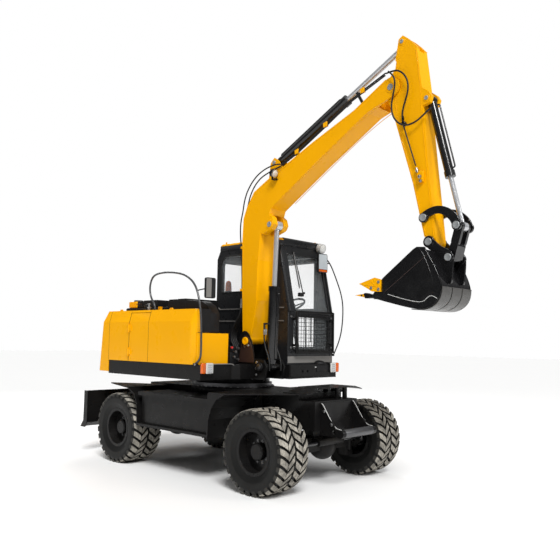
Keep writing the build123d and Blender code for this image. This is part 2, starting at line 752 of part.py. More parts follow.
with BuildPart() as cab_glass:
    # the front panes follow the cab's front line, set in
    set_in = 20
    outer = [(cab_front_x - set_in, 1400), (cab_front_x - set_in, cab_knee_z),
             (cab_top_front_x - set_in, cab_roof_z)]
    inner = [(x - glass_t, z) for x, z in reversed(outer)]
    slab(outer + inner, cab_right_y, cab_left_y)
    with BuildSketch(section(through_x)) as panes:
        for width, height, z, corner in (windscreen_size, lower_size):
            with Locations((cab_mid_y, z)):
                RectangleRounded(width, height, corner)
    extrude(panes.sketch, amount=400, mode=Mode.INTERSECT)
    slab(right_window, cab_right_y + 15, cab_right_y + 15 + glass_t)
    width, height, z, corner = rear_size
    window(cab_rear_x + 15, width, height, z, corner, glass_t, Mode.ADD)
save(cab_glass, "cab_glass")

with BuildPart() as cab_roof:
    block(cab_rear_x + 30, cab_top_front_x + 10, cab_right_y - 10, cab_left_y, cab_roof_z, roof_top)
    fillet(cab_roof.edges().filter_by(Axis.Z), 70)
    fillet(cab_roof.faces().sort_by(Axis.Z)[-1].edges(), 40)
save(cab_roof, "cab_roof")

with BuildPart() as cab_door:
    block(*cab_door_x, cab_left_y - cab_wall, cab_left_y, *cab_door_z)
    for z in cab_hinge_zs:
        hinge_leaf(cab_door_x[0] - swing_gap / 2, 1, cab_left_y, z)
    for low, high in pane_zs:
        block(*pane_x, cab_left_y - cab_wall - 5, cab_left_y + 5, low, high, Mode.SUBTRACT)
save(cab_door, "cab_door")

pane_y = cab_left_y - cab_wall / 2
with BuildPart() as door_glass:
    for low, high in pane_zs:
        block(*pane_x, pane_y - glass_t / 2, pane_y + glass_t / 2, low, high)
save(door_glass, "door_glass")

seat_base_z = 1690
seat_top_z = 1800
with BuildPart() as seat_cushion:
    block(-190, 300, 340, 800, seat_base_z, seat_top_z)
    back_z = seat_top_z + seat
    slab([(-190, back_z), (-110, back_z), (-190, 2400), (-290, 2400)], 350, 790)
save(seat_cushion, "seat_cushion")

with BuildPart() as controls:
    floor_z = cab_low + cab_wall
    block(-150, 250, 380, 760, floor_z, seat_base_z)
    block(-200, 330, 240, 330, floor_z, 1850)
    block(540, 620, 500, 640, floor_z, 1950)
save(controls, "controls")

# mesh guard over the lower windscreen
guard_y = (200, 930)
guard_z = (1420, 1940)
guard_x = cab_front_x + 58
guard_bar = 26
with BuildPart() as guard_grille:
    block(guard_x, guard_x + 20, *guard_y, *guard_z)
    block(guard_x - 1, guard_x + 21, guard_y[0] + guard_bar, guard_y[1] - guard_bar,
          guard_z[0] + guard_bar, guard_z[1] - guard_bar, Mode.SUBTRACT)
    for count, low, high in ((9, *guard_y),):
        for step in range(1, count):
            y = low + (high - low) * step / count
            block(guard_x + 5, guard_x + 13, y - 4, y + 4, *guard_z)
    for step in range(1, 7):
        z = guard_z[0] + (guard_z[1] - guard_z[0]) * step / 7
        block(guard_x + 7, guard_x + 15, *guard_y, z - 4, z + 4)
    for y in (guard_y[0] + 13, guard_y[1] - 13):
        for z in (guard_z[0] + 100, guard_z[1] - 100):
            block(cab_front_x, guard_x, y - 13, y + 13, z - 16, z + 16)
save(guard_grille, "guard_grille")

# -------------------------------------------------- rails, mirrors and lamps
rail_r = 13
right_rail = [
    (-440, -934, hood_top), (-440, -934, 1990), (-535, -928, 2060), (-572, -926, 2190),
    (-510, -929, 2345), (-352, -940, 2384), (-84, -958, 2374), (193, -976, 2330),
    (401, -990, 2210), (500, -998, 2010), (545, -1002, 1780), (552, -1002, 1420), (470, -1002, 1306),
]
left_rail = [
    (cab_top_front_x + 20, 1002, 2690), (748, 1004, 2645), (874, 1004, 2385), (985, 1004, 2112),
    (988, 1004, 1850), (940, 1004, 1570), (cab_front_x + 8, 1002, 1395),
]
with BuildPart() as handrails:
    pipe(right_rail, rail_r, 55)
    block(430, 500, -1016, -platform_y, hood_low - 12, hood_low + 18)
    pipe(left_rail, 9, 60)
    block(cab_top_front_x - 20, cab_top_front_x + 35, cab_left_y, 1012, 2672, 2708)
    block(cab_front_x - 40, cab_front_x + 20, cab_left_y, 1012, 1378, 1412)
    # arms of the two mirrors
    pipe([(432, -984, 2130), (470, -930, 2150), (492, -860, 2165)], 7, 20)
    pipe([(769, 1002, 2600), (774, 960, 2604), (776, 918.9, 2600)], 7, 12)
save(handrails, "handrails")

with BuildPart() as mirrors:
    block(499, 527, -932, -786, 2046, 2284)
    block(765, 793, 735, 918, 2470, 2716)
    fillet(mirrors.edges().filter_by(Axis.X), 22)
save(mirrors, "mirrors")

lamp_h = 120
with BuildPart() as marker_lamps:
    lamp_z = platform_top + 22 - lamp_h
    block(platform_front_right, platform_front_right + 45, -platform_y - 8, -platform_y + 155,
          lamp_z, lamp_z + lamp_h)
    block(platform_front_left, platform_front_left + 45, platform_y - 155, platform_y + 8,
          lamp_z - 10, lamp_z - 10 + lamp_h)
save(marker_lamps, "marker_lamps")

with BuildPart() as roof_lamp:
    tube((cab_top_front_x + 24, 2806), (cab_top_front_x + 84, 2791), 62, 880)
    block(cab_top_front_x + 10, cab_top_front_x + 30, 860, 900, cab_roof_z + 4, 2826)
save(roof_lamp, "roof_lamp")

# ----------------------------------------------------------------- working arm
boom_low, boom_high = arm_y - boom_w / 2, arm_y + boom_w / 2
eye_pocket = 53
foot_r = 74
boom_rear = [(389, 2063), (366, 2814)]
boom_back = [(828, 3529), (1512, 3833), (2090, 4067), (2500, 4300)]
with BuildPart() as boom:
    back = [
        (foot[0] - 72, foot[1]), *boom_rear, (380, 3080), (440, 3220), (559, 3391), *boom_back,
    ]
    under = [
        (2610, 4110), (2265, 4000), (1575, 3596), (994, 3236), (853, 3149), (800, 2990), (760, 2900),
        (690, 2870), (649, 2541), (640, 2055), (foot[0] + 72, foot[1]),
    ]
    slab(back + under, boom_low, boom_high)
    drum(foot, foot_r, boom_low, boom_high)
    drum(elbow, 105, boom_low, boom_high)
    # cheeks around the lift cylinder's eye
    block(690, 965, arm_y - eye_pocket, arm_y + eye_pocket, 2840, 3080, Mode.SUBTRACT)
    for hand in (1, -1):
        near, far = off_arm(hand, eye_pocket, boom_w / 2)
        cheek = [(700, 2850), (860, 2900), (905, 2960), (880, 3040), (800, 3100), (700, 3000)]
        slab(cheek, near, far)
    # fork that holds the stick
    drum(elbow, 240, arm_y - stick_w / 2 - fork_gap, arm_y + stick_w / 2 + fork_gap, Mode.SUBTRACT)
    drum(foot, boom_pin_r + running, boom_low - 5, boom_high + 5, Mode.SUBTRACT)
    drum(elbow, boom_pin_r, boom_low, boom_high)
    for hand in (1, -1):
        near, far = off_arm(hand, 60, 84)
        base_x, base_z = arm_base
        lug = [
            (760, 3480), (1010, 3600), (base_x + 60, base_z + 20), (base_x, base_z + 60),
            (base_x - 60, base_z),
        ]
        slab(lug, near, far)
    drum(arm_base, 26, arm_y - 84, arm_y + 84)
save(boom, "boom")

stick_low, stick_high = arm_y - stick_w / 2, arm_y + stick_w / 2
eye_slot = 45
with BuildPart() as stick:
    rear = [
        (2625, 4560), (2600, 4397), (elbow[0] - 95, elbow[1] + 40), (elbow[0] - 80, elbow[1] - 60),
        (2567, 3942), (2805, 3162), (2933, 2609),
    ]
    ahead = [
        (tip[0] + 62, tip[1]), (3029, 2843), (2979, 3325), (2920, 3930), (3000, 3950), (3018, 4010),
        (2990, 4060), (2912, 4120), (2853, 4562), (2790, 4640),
    ]
    slab(rear + ahead, stick_low, stick_high)
    drum(elbow, 100, stick_low, stick_high)
    drum(tip, 62, stick_low, stick_high)
    crown = [(2600, 4480), (2640, 4700), (2690, 4730), (2740, 4690), (2860, 4560), (2700, 4450)]
    slab(crown, stick_low, stick_high)
    # slots for the arm cylinder's rod and the bucket cylinder's base
    block(2560, 2880, arm_y - eye_slot, arm_y + eye_slot, 4532, 4800, Mode.SUBTRACT)
    bar(arm_eye, (2454, 4336), 42, arm_y - eye_slot, arm_y + eye_slot, Mode.SUBTRACT)
    block(2900, 3100, arm_y - 50, arm_y + 50, 3880, 4085, Mode.SUBTRACT)
    drum(elbow, boom_pin_r + running, stick_low - 5, stick_high + 5, Mode.SUBTRACT)
    drum(bucket_base, 24, stick_low, stick_high)
    for place in (tip, rocker_pin):
        drum(place, 26, stick_low - ear_t - 8, stick_high + ear_t + 8)
save(stick, "stick")

rocker_t = 24
with BuildPart() as rocker:
    for hand in (1, -1):
        near, far = off_arm(hand, stick_w / 2 + fork_gap, stick_w / 2 + fork_gap + rocker_t)
        crest = [
            (rocker_pin[0] - 40, rocker_pin[1] + 30), (2990, 2870), (3100, 2890), (3210, 2850),
            (3320, 2740), (rocker_end[0] + 30, rocker_end[1]), (3240, 2720), (3160, 2800),
            (3080, 2822), (2990, 2790), (rocker_pin[0], rocker_pin[1] - 40),
        ]
        slab(crest, near, far)
        drum(rocker_pin, 50, near, far)
        drum(rocker_end, rocker_eye_r, near, far)
        drum(rocker_pin, 26 + running, near - 2, far + 2, Mode.SUBTRACT)
save(rocker, "rocker")

with BuildPart() as bucket_link:
    for hand in (1, -1):
        bar(rocker_end, along(rocker_end, link_pin, 150), 42, *off_arm(hand, 42, 78))
    bar(along(rocker_end, link_pin, 190), link_pin, 40, arm_y - 78, arm_y + 78)
    drum(link_pin, 24 + running, arm_y - 90, arm_y + 90, Mode.SUBTRACT)
save(bucket_link, "bucket_link")

bucket_low, bucket_high = arm_y - bucket_w / 2, arm_y + bucket_w / 2
wall = 22
lip_t = 24
strap_t = 9
strap_w = 90
with BuildPart() as bucket:
    shell = [
        (2961, 2486), (3043, 2479), (3151, 2296), (3197, 2194), (bucket_back, 2100),
        (bucket_back - 10, 2010), (3160, 1935), (3055, 1888), (2900, 1899), (2584, 1978), lip,
    ]
    slab(shell + [mouth, (2921, 2466)], bucket_low, bucket_high)
    inside = [
        (3072, 2560), (3062, 2430), (3130, 2280), (3174, 2185), (bucket_back - 24, 2098),
        (bucket_back - 34, 2020), (3146, 1957), (3050, 1912), (2904, 1923), (2590, 2002),
        (lip[0] - 10, lip[1] + 26), (2560, 2260), (2900, 2560),
    ]
    slab(inside, bucket_low + wall, bucket_high - wall, Mode.SUBTRACT)
    for hand in (1, -1):
        near, far = off_arm(hand, stick_w / 2 + fork_gap, stick_w / 2 + fork_gap + 26)
        ear = [
            (tip[0] - 40, tip[1] + 20), (tip[0] + 20, tip[1] + 50), (3080, 2535), (3237, 2443),
            (link_pin[0] + 55, link_pin[1]), (3245, 2200), (3240, 2130), (3190, 2150),
            (3040, 2450), (2975, 2490),
        ]
        slab(ear, near, far)
        drum(tip, 58, near, far)
        drum(link_pin, 52, near, far)
        drum(tip, 26 + running, near - 2, far + 2, Mode.SUBTRACT)
    drum(link_pin, 24, arm_y - stick_w / 2 - 39, arm_y + stick_w / 2 + 39)
    # wear straps round the heel
    strap = [
        (bucket_back, 2100), (bucket_back - 10, 2010), (3160, 1935), (3055, 1888), (2900, 1899),
        (2897, 1899 - strap_t), (3056, 1888 - strap_t), (3166, 1935 - strap_t),
        (bucket_back - 1, 2006), (bucket_back + strap_t, 2100),
    ]
    for y in (bucket_low + 90, arm_y, bucket_high - 90):
        slab(strap, y - strap_w / 2, y + strap_w / 2)
save(bucket, "bucket")

cutter_t = 20
with BuildPart() as bucket_teeth:
    tooth_count = 4
    first_y = bucket_low + 60
    for place in range(tooth_count):
        y = first_y + place * (bucket_w - 120) / (tooth_count - 1)
        slab([lip, along(lip, mouth, lip_t), (2352, 2064), (2211, 2051), (2363, 2019)], y - 32, y + 32)
    # side cutters, bolted on the outside of the side plates
    cutter = [(2301, 2161), (2488, 2215), (2560, 2194), (2563, 2070), (2456, 2078), (2406, 2107)]
    slab(cutter, bucket_low - cutter_t, bucket_low)
    slab(cutter, bucket_high, bucket_high + cutter_t)
save(bucket_teeth, "bucket_teeth")

# --------------------------------------------------------- oil lines and hoses
clip_w = 26


def clip(edge, distance, height, y_low, y_high):
    # strap on the left of an (X, Z) edge
    start, end = edge
    footing = [beside(start, end, place, seat) for place in (distance, distance + clip_w)]
    crest = [beside(start, end, place, height) for place in (distance + clip_w, distance)]
    slab(footing + crest, y_low, y_high)


line_lift = 26               # the second steel line lies this much higher
hose_r = 8
lower_line = [(1000, 3642), (1257, 3744), (1686, 3974), (2037, 4172), (2198, 4238), (2490, 4350)]
outer_hose = [
    (1000, -216, 3668), (890, -210, 3684), (730, -205, 3662), (590, -205, 3606), (480, -205, 3515),
    (402, -205, 3408), (360, -205, 3300), (338, -205, 3170), (306, -205, 3062), (298, -205, 2950),
    (306, -205, 2830), (330, -205, 2700), (344, -205, 2420), (352, -205, 2230), (352, -205, 2070),
]
inner_hose = [
    (1000, -222, 3642), (890, -220, 3620), (770, -215, 3594), (650, -205, 3560), (530, -190, 3486),
    (440, -180, 3370), (398, -175, 3250), (360, -172, 3130), (330, -172, 2990), (326, -172, 2830),
    (340, -172, 2600), (350, -172, 2400), (354, -172, 2230), (352, -172, 2070),
]
with BuildPart() as boom_lines:
    # two steel lines along the boom's back, then two hoses down its rear face
    pipe([(x, -222, z) for x, z in lower_line], line_r, 60)
    pipe([(x, -216, z + line_lift) for x, z in lower_line], line_r, 60)
    clip(boom_back[0:2], 460, 84, -230, -207)
    clip(boom_back[2:4], 110, 150, -230, -207)
    hose(outer_hose, hose_r)
    hose(inner_hose, hose_r)
    for distance in (115, 645):
        clip(boom_rear, distance, 46, -215, -160)
save(boom_lines, "boom_lines")

side_y = -250                # the hoses hang beside the stick
upper_hose = [
    (2520, side_y + 4, 4356), (2629, side_y, 4366), (2722, side_y, 4310), (2780, side_y, 4215),
    (2786, side_y, 4100), (2745, side_y, 3990), (2712, side_y, 3890), (2713, side_y + 10, 3800),
]
lower_hose = [
    (2560, side_y - 20, 4359), (2628, side_y - 22, 4300), (2645, side_y - 22, 4200),
    (2620, side_y - 22, 4090), (2596, side_y - 22, 3985), (2614, side_y - 22, 3870),
    (2680, side_y - 16, 3780), (2775, side_y - 10, 3740), (2880, side_y - 4, 3760),
    (2970, side_y + 10, 3825), (3030, side_y + 30, 3880),
]
with BuildPart() as stick_hoses:
    hose(upper_hose, hose_r + 1)
    hose(lower_hose, hose_r + 1)
    # clamp for both hoses, then a steel line and its valve on the stick's side
    block(2690, 2736, side_y - 16, stick_low - seat, 3742, 3824)
    rod((2713, -240, 3800), (2853, -226, 3325), line_r)
    for x, z in ((2853, 3325), (2880, 3230), (2894, 3174)):
        rod((x, -226, z), (x + 14, -226, z - 62), 15)
    block(2868, 2938, -222, stick_low - seat, 3168, 3262)
save(stick_hoses, "stick_hoses")

foot_line = [(352, 1950), (310, 1872), (236, 1772), (182, 1668), (186, 1566), (236, 1500), (276, 1440)]
with BuildPart() as foot_hoses:
    # four hoses from the swivel, slack behind the boom's foot
    for place in range(4):
        y = -218 + 34 * place
        shift = -62 - 9 * place
        route = [(x + shift, y, z) for x, z in foot_line]
        hose(route + [(276 + shift, y, platform_top + seat)], hose_r + 2)
save(foot_hoses, "foot_hoses")

barrel_side = 63 + seat
with BuildPart() as lift_hoses:
    # one each side of the lift cylinder's barrel
    for hand, front in ((-1, 0), (1, 25)):
        y = arm_y + hand * 84
        hose([(735 + front, y, 1712), (733 + front, y, 1600), (750 + front, y, 1500),
              (800 + front, y, 1400), (833 + front, y, 1305), (830 + front, y, 1214)], hose_r + 1)
        rod((735 + front, y, 1705), (735 + front, y, 1782), 13)
        rod((735 + front, y, 1770), (790, y, 1770), 11)
        rod((790, y + hand * 11, 1770), (790, arm_y + hand * barrel_side, 1770), 11)
save(lift_hoses, "lift_hoses")

with BuildPart() as boom_lamp:
    # work lamp on a bent bracket at the boom's bend
    rod((918, -284, 3562), (966, -284, 3545), 46)
    block(912, 930, -290, -278, 3478, 3560)
    block(912, 968, -290, boom_low - seat, 3478, 3490)
save(boom_lamp, "boom_lamp")
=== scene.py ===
import json
from math import cos, sin, pi, radians

import bpy
import bmesh
from mathutils import Matrix, Vector


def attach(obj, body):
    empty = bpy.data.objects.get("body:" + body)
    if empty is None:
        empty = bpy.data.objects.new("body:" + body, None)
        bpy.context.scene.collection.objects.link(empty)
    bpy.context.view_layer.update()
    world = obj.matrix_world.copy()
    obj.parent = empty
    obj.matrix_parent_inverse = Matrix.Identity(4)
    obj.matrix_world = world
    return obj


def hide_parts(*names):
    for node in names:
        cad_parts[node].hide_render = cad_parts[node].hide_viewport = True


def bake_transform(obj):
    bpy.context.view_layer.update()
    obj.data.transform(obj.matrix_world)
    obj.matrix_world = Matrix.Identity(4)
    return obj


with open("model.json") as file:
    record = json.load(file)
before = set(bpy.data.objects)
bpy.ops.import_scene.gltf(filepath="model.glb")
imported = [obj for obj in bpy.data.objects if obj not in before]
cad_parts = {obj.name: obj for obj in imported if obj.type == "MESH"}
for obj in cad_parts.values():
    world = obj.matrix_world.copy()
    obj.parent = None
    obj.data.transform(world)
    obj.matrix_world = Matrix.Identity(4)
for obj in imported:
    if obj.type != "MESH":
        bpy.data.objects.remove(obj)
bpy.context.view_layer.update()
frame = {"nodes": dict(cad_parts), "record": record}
record = frame["record"]
jointPlace = {j["name"]: j.get("pos_m") for j in record["behaviour"]["joints"]}
slewX = jointPlace["slew"][0]     # the slew axis in the machine's frame
armY = -100                       # middle of the boom and stick, mm from the slew axis
forward, toLeft, toRight, upward = (1, 0, 0), (0, 1, 0), (0, -1, 0), (0, 0, 1)


def at(x, y, z):
    # millimetres from the slew axis to metres in the machine's frame
    return Vector((x / 1000 + slewX, y / 1000, z / 1000))


def show(name, data):
    piece = bpy.data.objects.new(name, data)
    bpy.context.scene.collection.objects.link(piece)
    return piece


# ---- camera

cameraSettings = {
    "place": (6285, -5741, 1590), "yaw": 133.669, "pitch": 5.163, "roll": 0.901,
    "lens": 42.06, "film": 36, "reach": 200,
}


def makeCamera(s):
    yaw, pitch, roll = (radians(s[k]) for k in ("yaw", "pitch", "roll"))
    ahead = Vector((cos(pitch) * cos(yaw), cos(pitch) * sin(yaw), sin(pitch)))
    level = Vector((sin(yaw), -cos(yaw), 0))
    above = level.cross(ahead)
    right = level * cos(roll) + above * sin(roll)
    up = above * cos(roll) - level * sin(roll)
    data = bpy.data.cameras.new("studioCamera")
    data.lens = s["lens"]
    data.sensor_width = s["film"]
    data.clip_end = s["reach"]
    camera = show("studioCamera", data)
    turn = Matrix((right, up, -ahead)).transposed()
    camera.matrix_world = Matrix.Translation(at(*s["place"])) @ turn.to_4x4()
    bpy.context.scene.camera = camera


makeCamera(cameraSettings)
print("camera ready")

# ---- materials

paints = {
    # colour, second colour, roughness low and high, specular, coat, grain size, bump depth, dust
    "yellowPaint": ((0.87, 0.4, 0.0), (0.82, 0.37, 0.0), 0.26, 0.36, 0.12, 0.1, 2.2, 0.02, 0.0),
    "blackPaint": ((0.0045, 0.0045, 0.005), (0.009, 0.0085, 0.008), 0.25, 0.4, 0.16, 0.04, 4, 0.03, 0.03),
    "axlePaint": ((0.005, 0.005, 0.0055), (0.014, 0.013, 0.012), 0.32, 0.5, 0.16, 0.0, 9, 0.08, 0.06),
    "cabPaint": ((0.011, 0.0115, 0.0125), (0.017, 0.0175, 0.019), 0.24, 0.36, 0.3, 0.08, 3, 0.03, 0.01),
    "glossBlack": ((0.003, 0.003, 0.0035), (0.006, 0.006, 0.0065), 0.12, 0.24, 0.5, 0.3, 3, 0.02, 0.0),
    "coverBlack": ((0.006, 0.006, 0.0065), (0.011, 0.011, 0.012), 0.4, 0.55, 0.2, 0.0, 14, 0.12, 0.02),
    "consolePlastic": ((0.012, 0.012, 0.013), (0.02, 0.02, 0.022), 0.5, 0.65, 0.4, 0.0, 60, 0.2, 0.0),
    "blackRubber": ((0.006, 0.006, 0.006), (0.011, 0.011, 0.011), 0.45, 0.6, 0.4, 0.0, 20, 0.1, 0.05),
    "engineGrey": ((0.03, 0.03, 0.033), (0.06, 0.06, 0.06), 0.45, 0.7, 0.4, 0.0, 12, 0.3, 0.1),
    "heelSteel": ((0.03, 0.0295, 0.028), (0.07, 0.067, 0.062), 0.22, 0.42, 0.4, 0.15, 5, 0.05, 0.0),
    "railGrey": ((0.035, 0.037, 0.04), (0.05, 0.052, 0.055), 0.25, 0.35, 0.5, 0.2, 6, 0.03, 0.0),
    "brownPlate": ((0.032, 0.016, 0.012), (0.04, 0.02, 0.015), 0.3, 0.4, 0.35, 0.1, 4, 0.03, 0.05),
    "greyPaint": ((0.16, 0.155, 0.145), (0.19, 0.18, 0.17), 0.35, 0.5, 0.4, 0.0, 4, 0.03, 0.05),
    # pale grey of the blank label, and of the lines of painted highlight along edges
    "paleEdge": ((0.45, 0.45, 0.44), (0.6, 0.6, 0.58), 0.4, 0.55, 0.4, 0.0, 20, 0.05, 0.0),
    "seamShade": ((0.05, 0.02, 0.0), (0.07, 0.03, 0.0), 0.6, 0.7, 0.2, 0.0, 4, 0.02, 0.0),
    "mirrorShell": ((0.006, 0.006, 0.0065), (0.009, 0.009, 0.01), 0.3, 0.4, 0.4, 0.0, 30, 0.05, 0.0),
}
metals = {
    # colour, roughness low and high, scratch stretch, grain size, how metallic
    "chromeRod": ((0.62, 0.63, 0.65), 0.1, 0.2, 1, 40, 0.55),
    "capSteel": ((0.33, 0.345, 0.35), 0.35, 0.5, 1, 40, 0.3),
    "machinedSteel": ((0.2, 0.2, 0.21), 0.3, 0.5, 1, 30, 1),
    "zincSteel": ((0.5, 0.5, 0.5), 0.28, 0.42, 1, 60, 1),
    "pinGrey": ((0.16, 0.16, 0.165), 0.35, 0.55, 1, 40, 1),
    "mirrorGlass": ((0.75, 0.82, 0.86), 0.03, 0.06, 1, 5, 0.25),
}
glass = {"tint": (0.8, 0.86, 0.88), "alpha": 0.07, "rough": 0.02}
lenses = {"whiteLens": (0.75, 0.75, 0.72), "amberLens": (0.8, 0.13, 0.0), "redLens": (0.55, 0.02, 0.02)}
lensRibs = 60
dustColour = (0.2, 0.165, 0.12)
mats = {}


def feed(tree, node, inputs):
    # links each input to an output, or gives it a value of its own
    for key, value in inputs.items():
        socket = node.inputs[key]
        if hasattr(value, "links"):
            tree.links.new(value, socket)
        elif socket.type == "RGBA":
            socket.default_value = (*value, 1)
        else:
            socket.default_value = value


def addNode(tree, kind, inputs={}, **settings):
    node = tree.nodes.new(kind)
    for key, value in settings.items():
        setattr(node, key, value)
    feed(tree, node, inputs)
    return node


def newFinish(name):
    mats[name] = bpy.data.materials.new(name)
    mats[name].use_nodes = True
    tree = mats[name].node_tree
    place = addNode(tree, "ShaderNodeTexCoord").outputs["Object"]
    return tree, tree.nodes["Principled BSDF"], place


def noise(tree, place, scale, detail=4, stretch=None):
    if stretch:
        place = addNode(tree, "ShaderNodeMapping", {"Vector": place, "Scale": stretch}).outputs["Vector"]
    inputs = {"Vector": place, "Scale": scale, "Detail": detail}
    return addNode(tree, "ShaderNodeTexNoise", inputs).outputs["Fac"]


def spread(tree, value, low, high, fromLow=0.3, fromHigh=0.7):
    inputs = {"Value": value, "From Min": fromLow, "From Max": fromHigh, "To Min": low, "To Max": high}
    return addNode(tree, "ShaderNodeMapRange", inputs).outputs["Result"]


def blendColours(tree, factor, first, second):
    return addNode(tree, "ShaderNodeMix", {0: factor, 6: first, 7: second}, data_type="RGBA").outputs[2]


def times(tree, first, second):
    return addNode(tree, "ShaderNodeMath", {0: first, 1: second}, operation="MULTIPLY").outputs[0]


def heightOf(tree, source):
    return addNode(tree, "ShaderNodeSeparateXYZ", {0: source}).outputs["Z"]


def roughen(tree, shader, value, depth, distance=0.001):
    bump = addNode(tree, "ShaderNodeBump", {"Height": value, "Strength": depth, "Distance": distance})
    feed(tree, shader, {"Normal": bump.outputs["Normal"]})


def settledDust(tree, place, amount):
    # lies on faces that look up, and thickens towards the ground
    facing = addNode(tree, "ShaderNodeNewGeometry").outputs["Normal"]
    up = spread(tree, heightOf(tree, facing), 0.25, 1, -0.2, 0.9)
    low = spread(tree, heightOf(tree, place), 1, 0.35, 0.2, 1.6)
    patches = spread(tree, noise(tree, place, 7, 8), 0, amount, 0.42, 0.75)
    return times(tree, times(tree, up, low), patches)


def makePaint(name, first, second, roughLow, roughHigh, specular, coat, grain, depth, dust):
    tree, shader, place = newFinish(name)
    colour = blendColours(tree, noise(tree, place, grain), first, second)
    if dust:
        colour = blendColours(tree, settledDust(tree, place, dust), colour, dustColour)
    feed(tree, shader, {
        "Base Color": colour, "Roughness": spread(tree, noise(tree, place, grain * 3), roughLow, roughHigh),
        "Specular IOR Level": specular, "Coat Weight": coat, "Coat Roughness": 0.06,
    })
    roughen(tree, shader, noise(tree, place, grain * 40, 2), depth)


def makeMetal(name, colour, roughLow, roughHigh, stretch, grain, full):
    tree, shader, place = newFinish(name)
    scratches = noise(tree, place, grain, 6, (1, stretch, 1))
    darker = [c * 0.75 for c in colour]
    feed(tree, shader, {
        "Base Color": blendColours(tree, scratches, darker, colour),
        "Roughness": spread(tree, scratches, roughLow, roughHigh), "Metallic": full,
    })
    roughen(tree, shader, noise(tree, place, grain * 6, 2), 0.05)


def makeGlass(name, s):
    tree, shader, place = newFinish(name)
    haze = noise(tree, place, 3)
    feed(tree, shader, {
        "Base Color": blendColours(tree, haze, s["tint"], [c * 0.9 for c in s["tint"]]),
        "Roughness": spread(tree, haze, s["rough"], s["rough"] + 0.04), "Alpha": s["alpha"],
        "Coat Weight": 1, "Coat Roughness": 0.03,
    })


def makeLens(name, colour):
    tree, shader, place = newFinish(name)
    wave = addNode(tree, "ShaderNodeTexWave", {"Vector": place, "Scale": lensRibs}).outputs["Fac"]
    deeper = [c * 0.7 for c in colour]
    feed(tree, shader, {
        "Base Color": blendColours(tree, wave, deeper, colour), "Roughness": 0.2, "Coat Weight": 0.3,
    })
    roughen(tree, shader, wave, 0.4, 0.002)


def makeTyreRubber(name):
    # dry dust on the block tops, and a faint painted sheen on the side walls' raised ring, both from an
    # attribute of the mesh
    tree, shader, place = newFinish(name)
    worn = addNode(tree, "ShaderNodeAttribute", attribute_name="dustAndSheen").outputs["Fac"]
    patches = spread(tree, noise(tree, place, 9, 8), 0.35, 1, 0.35, 0.65)
    fine = spread(tree, noise(tree, place, 70, 6), 0.6, 1, 0.35, 0.65)
    cover = times(tree, times(tree, worn, patches), fine)
    base = blendColours(tree, noise(tree, place, 30), (0.004, 0.004, 0.004), (0.009, 0.009, 0.0085))
    feed(tree, shader, {
        "Base Color": blendColours(tree, cover, base, (0.46, 0.43, 0.37)),
        "Roughness": spread(tree, cover, 0.5, 0.9, 0, 1), "Specular IOR Level": 0.22,
    })
    roughen(tree, shader, noise(tree, place, 160, 4), 0.25, 0.002)


def makeSeatFabric(name):
    tree, shader, place = newFinish(name)
    weave = addNode(tree, "ShaderNodeTexVoronoi", {"Vector": place, "Scale": 260}).outputs["Distance"]
    feed(tree, shader, {
        "Base Color": blendColours(tree, weave, (0.03, 0.031, 0.035), (0.075, 0.077, 0.085)),
        "Roughness": 0.85, "Sheen Weight": 0.4,
    })
    roughen(tree, shader, weave, 0.4)


for name, values in paints.items():
    makePaint(name, *values)
for name, values in metals.items():
    makeMetal(name, *values)
for name, colour in lenses.items():
    makeLens(name, colour)
makeGlass("clearGlass", glass)
makeTyreRubber("tyreRubber")
makeSeatFabric("seatFabric")

slotFinish = {
    # the record's material slots and the finish that each one takes
    "chassis_black": "blackPaint", "axle_black": "axlePaint", "machined_steel": "machinedSteel",
    "tyre_rubber": "tyreRubber", "rim_black": "blackPaint", "barrel_black": "glossBlack",
    "chrome_rod": "chromeRod", "yellow_paint": "yellowPaint", "engine_grey": "engineGrey",
    "cover_black": "coverBlack", "cab_grey": "cabPaint", "clear_glass": "clearGlass",
    "seat_fabric": "seatFabric", "console_plastic": "consolePlastic", "lamp_lens": "amberLens",
    "lamp_clear": "whiteLens", "mirror_black": "mirrorShell", "bucket_black": "glossBlack",
    "tooth_yellow": "yellowPaint", "hose_rubber": "blackRubber",
}
softEdges = {
    # rounding of the plate edges, in millimetres
    "yellow_paint": 5, "chassis_black": 3, "axle_black": 4, "cab_grey": 8, "bucket_black": 4,
    "cover_black": 6, "tooth_yellow": 3, "rim_black": 2, "mirror_black": 8, "lamp_lens": 6,
    "lamp_clear": 6, "console_plastic": 12, "engine_grey": 10,
}


def bevelEdges(piece, width, harden=False):
    bevel = piece.modifiers.new("softEdges", "BEVEL")
    bevel.width = width / 1000
    bevel.segments = 2
    bevel.limit_method = "ANGLE"
    bevel.angle_limit = radians(35)
    bevel.harden_normals = harden


def dressNodes():
    for entry in record["subparts"]:
        node = frame["nodes"][entry["node"]]
        slot = entry["material_slot"]
        finish = mats["glossBlack" if entry["node"] == "steering_rod" else slotFinish[slot]]
        if not node.material_slots:
            node.data.materials.append(finish)
        for place in node.material_slots:
            place.material = finish
        if slot in softEdges:
            weld = node.modifiers.new("weld", "WELD")
            weld.merge_threshold = 0.00002
            bevelEdges(node, softEdges[slot], True)


dressNodes()
print("cad pieces finished")

# ---- making pieces


def toMesh(name, bm):
    mesh = bpy.data.meshes.new(name)
    bm.to_mesh(mesh)
    bm.free()
    return mesh


def evaluatedMesh(holder):
    return bpy.data.meshes.new_from_object(holder.evaluated_get(bpy.context.evaluated_depsgraph_get()))


def settledMesh(holder):
    # the holder's final mesh, without the holder
    mesh = evaluatedMesh(holder)
    bpy.data.objects.remove(holder)
    return mesh


def newPiece(name, bm, body, finish, bevel=0, smooth=40):
    bmesh.ops.remove_doubles(bm, verts=bm.verts, dist=0.00001)
    bmesh.ops.recalc_face_normals(bm, faces=bm.faces)
    return placePiece(name, toMesh(name, bm), body, finish, bevel, smooth)


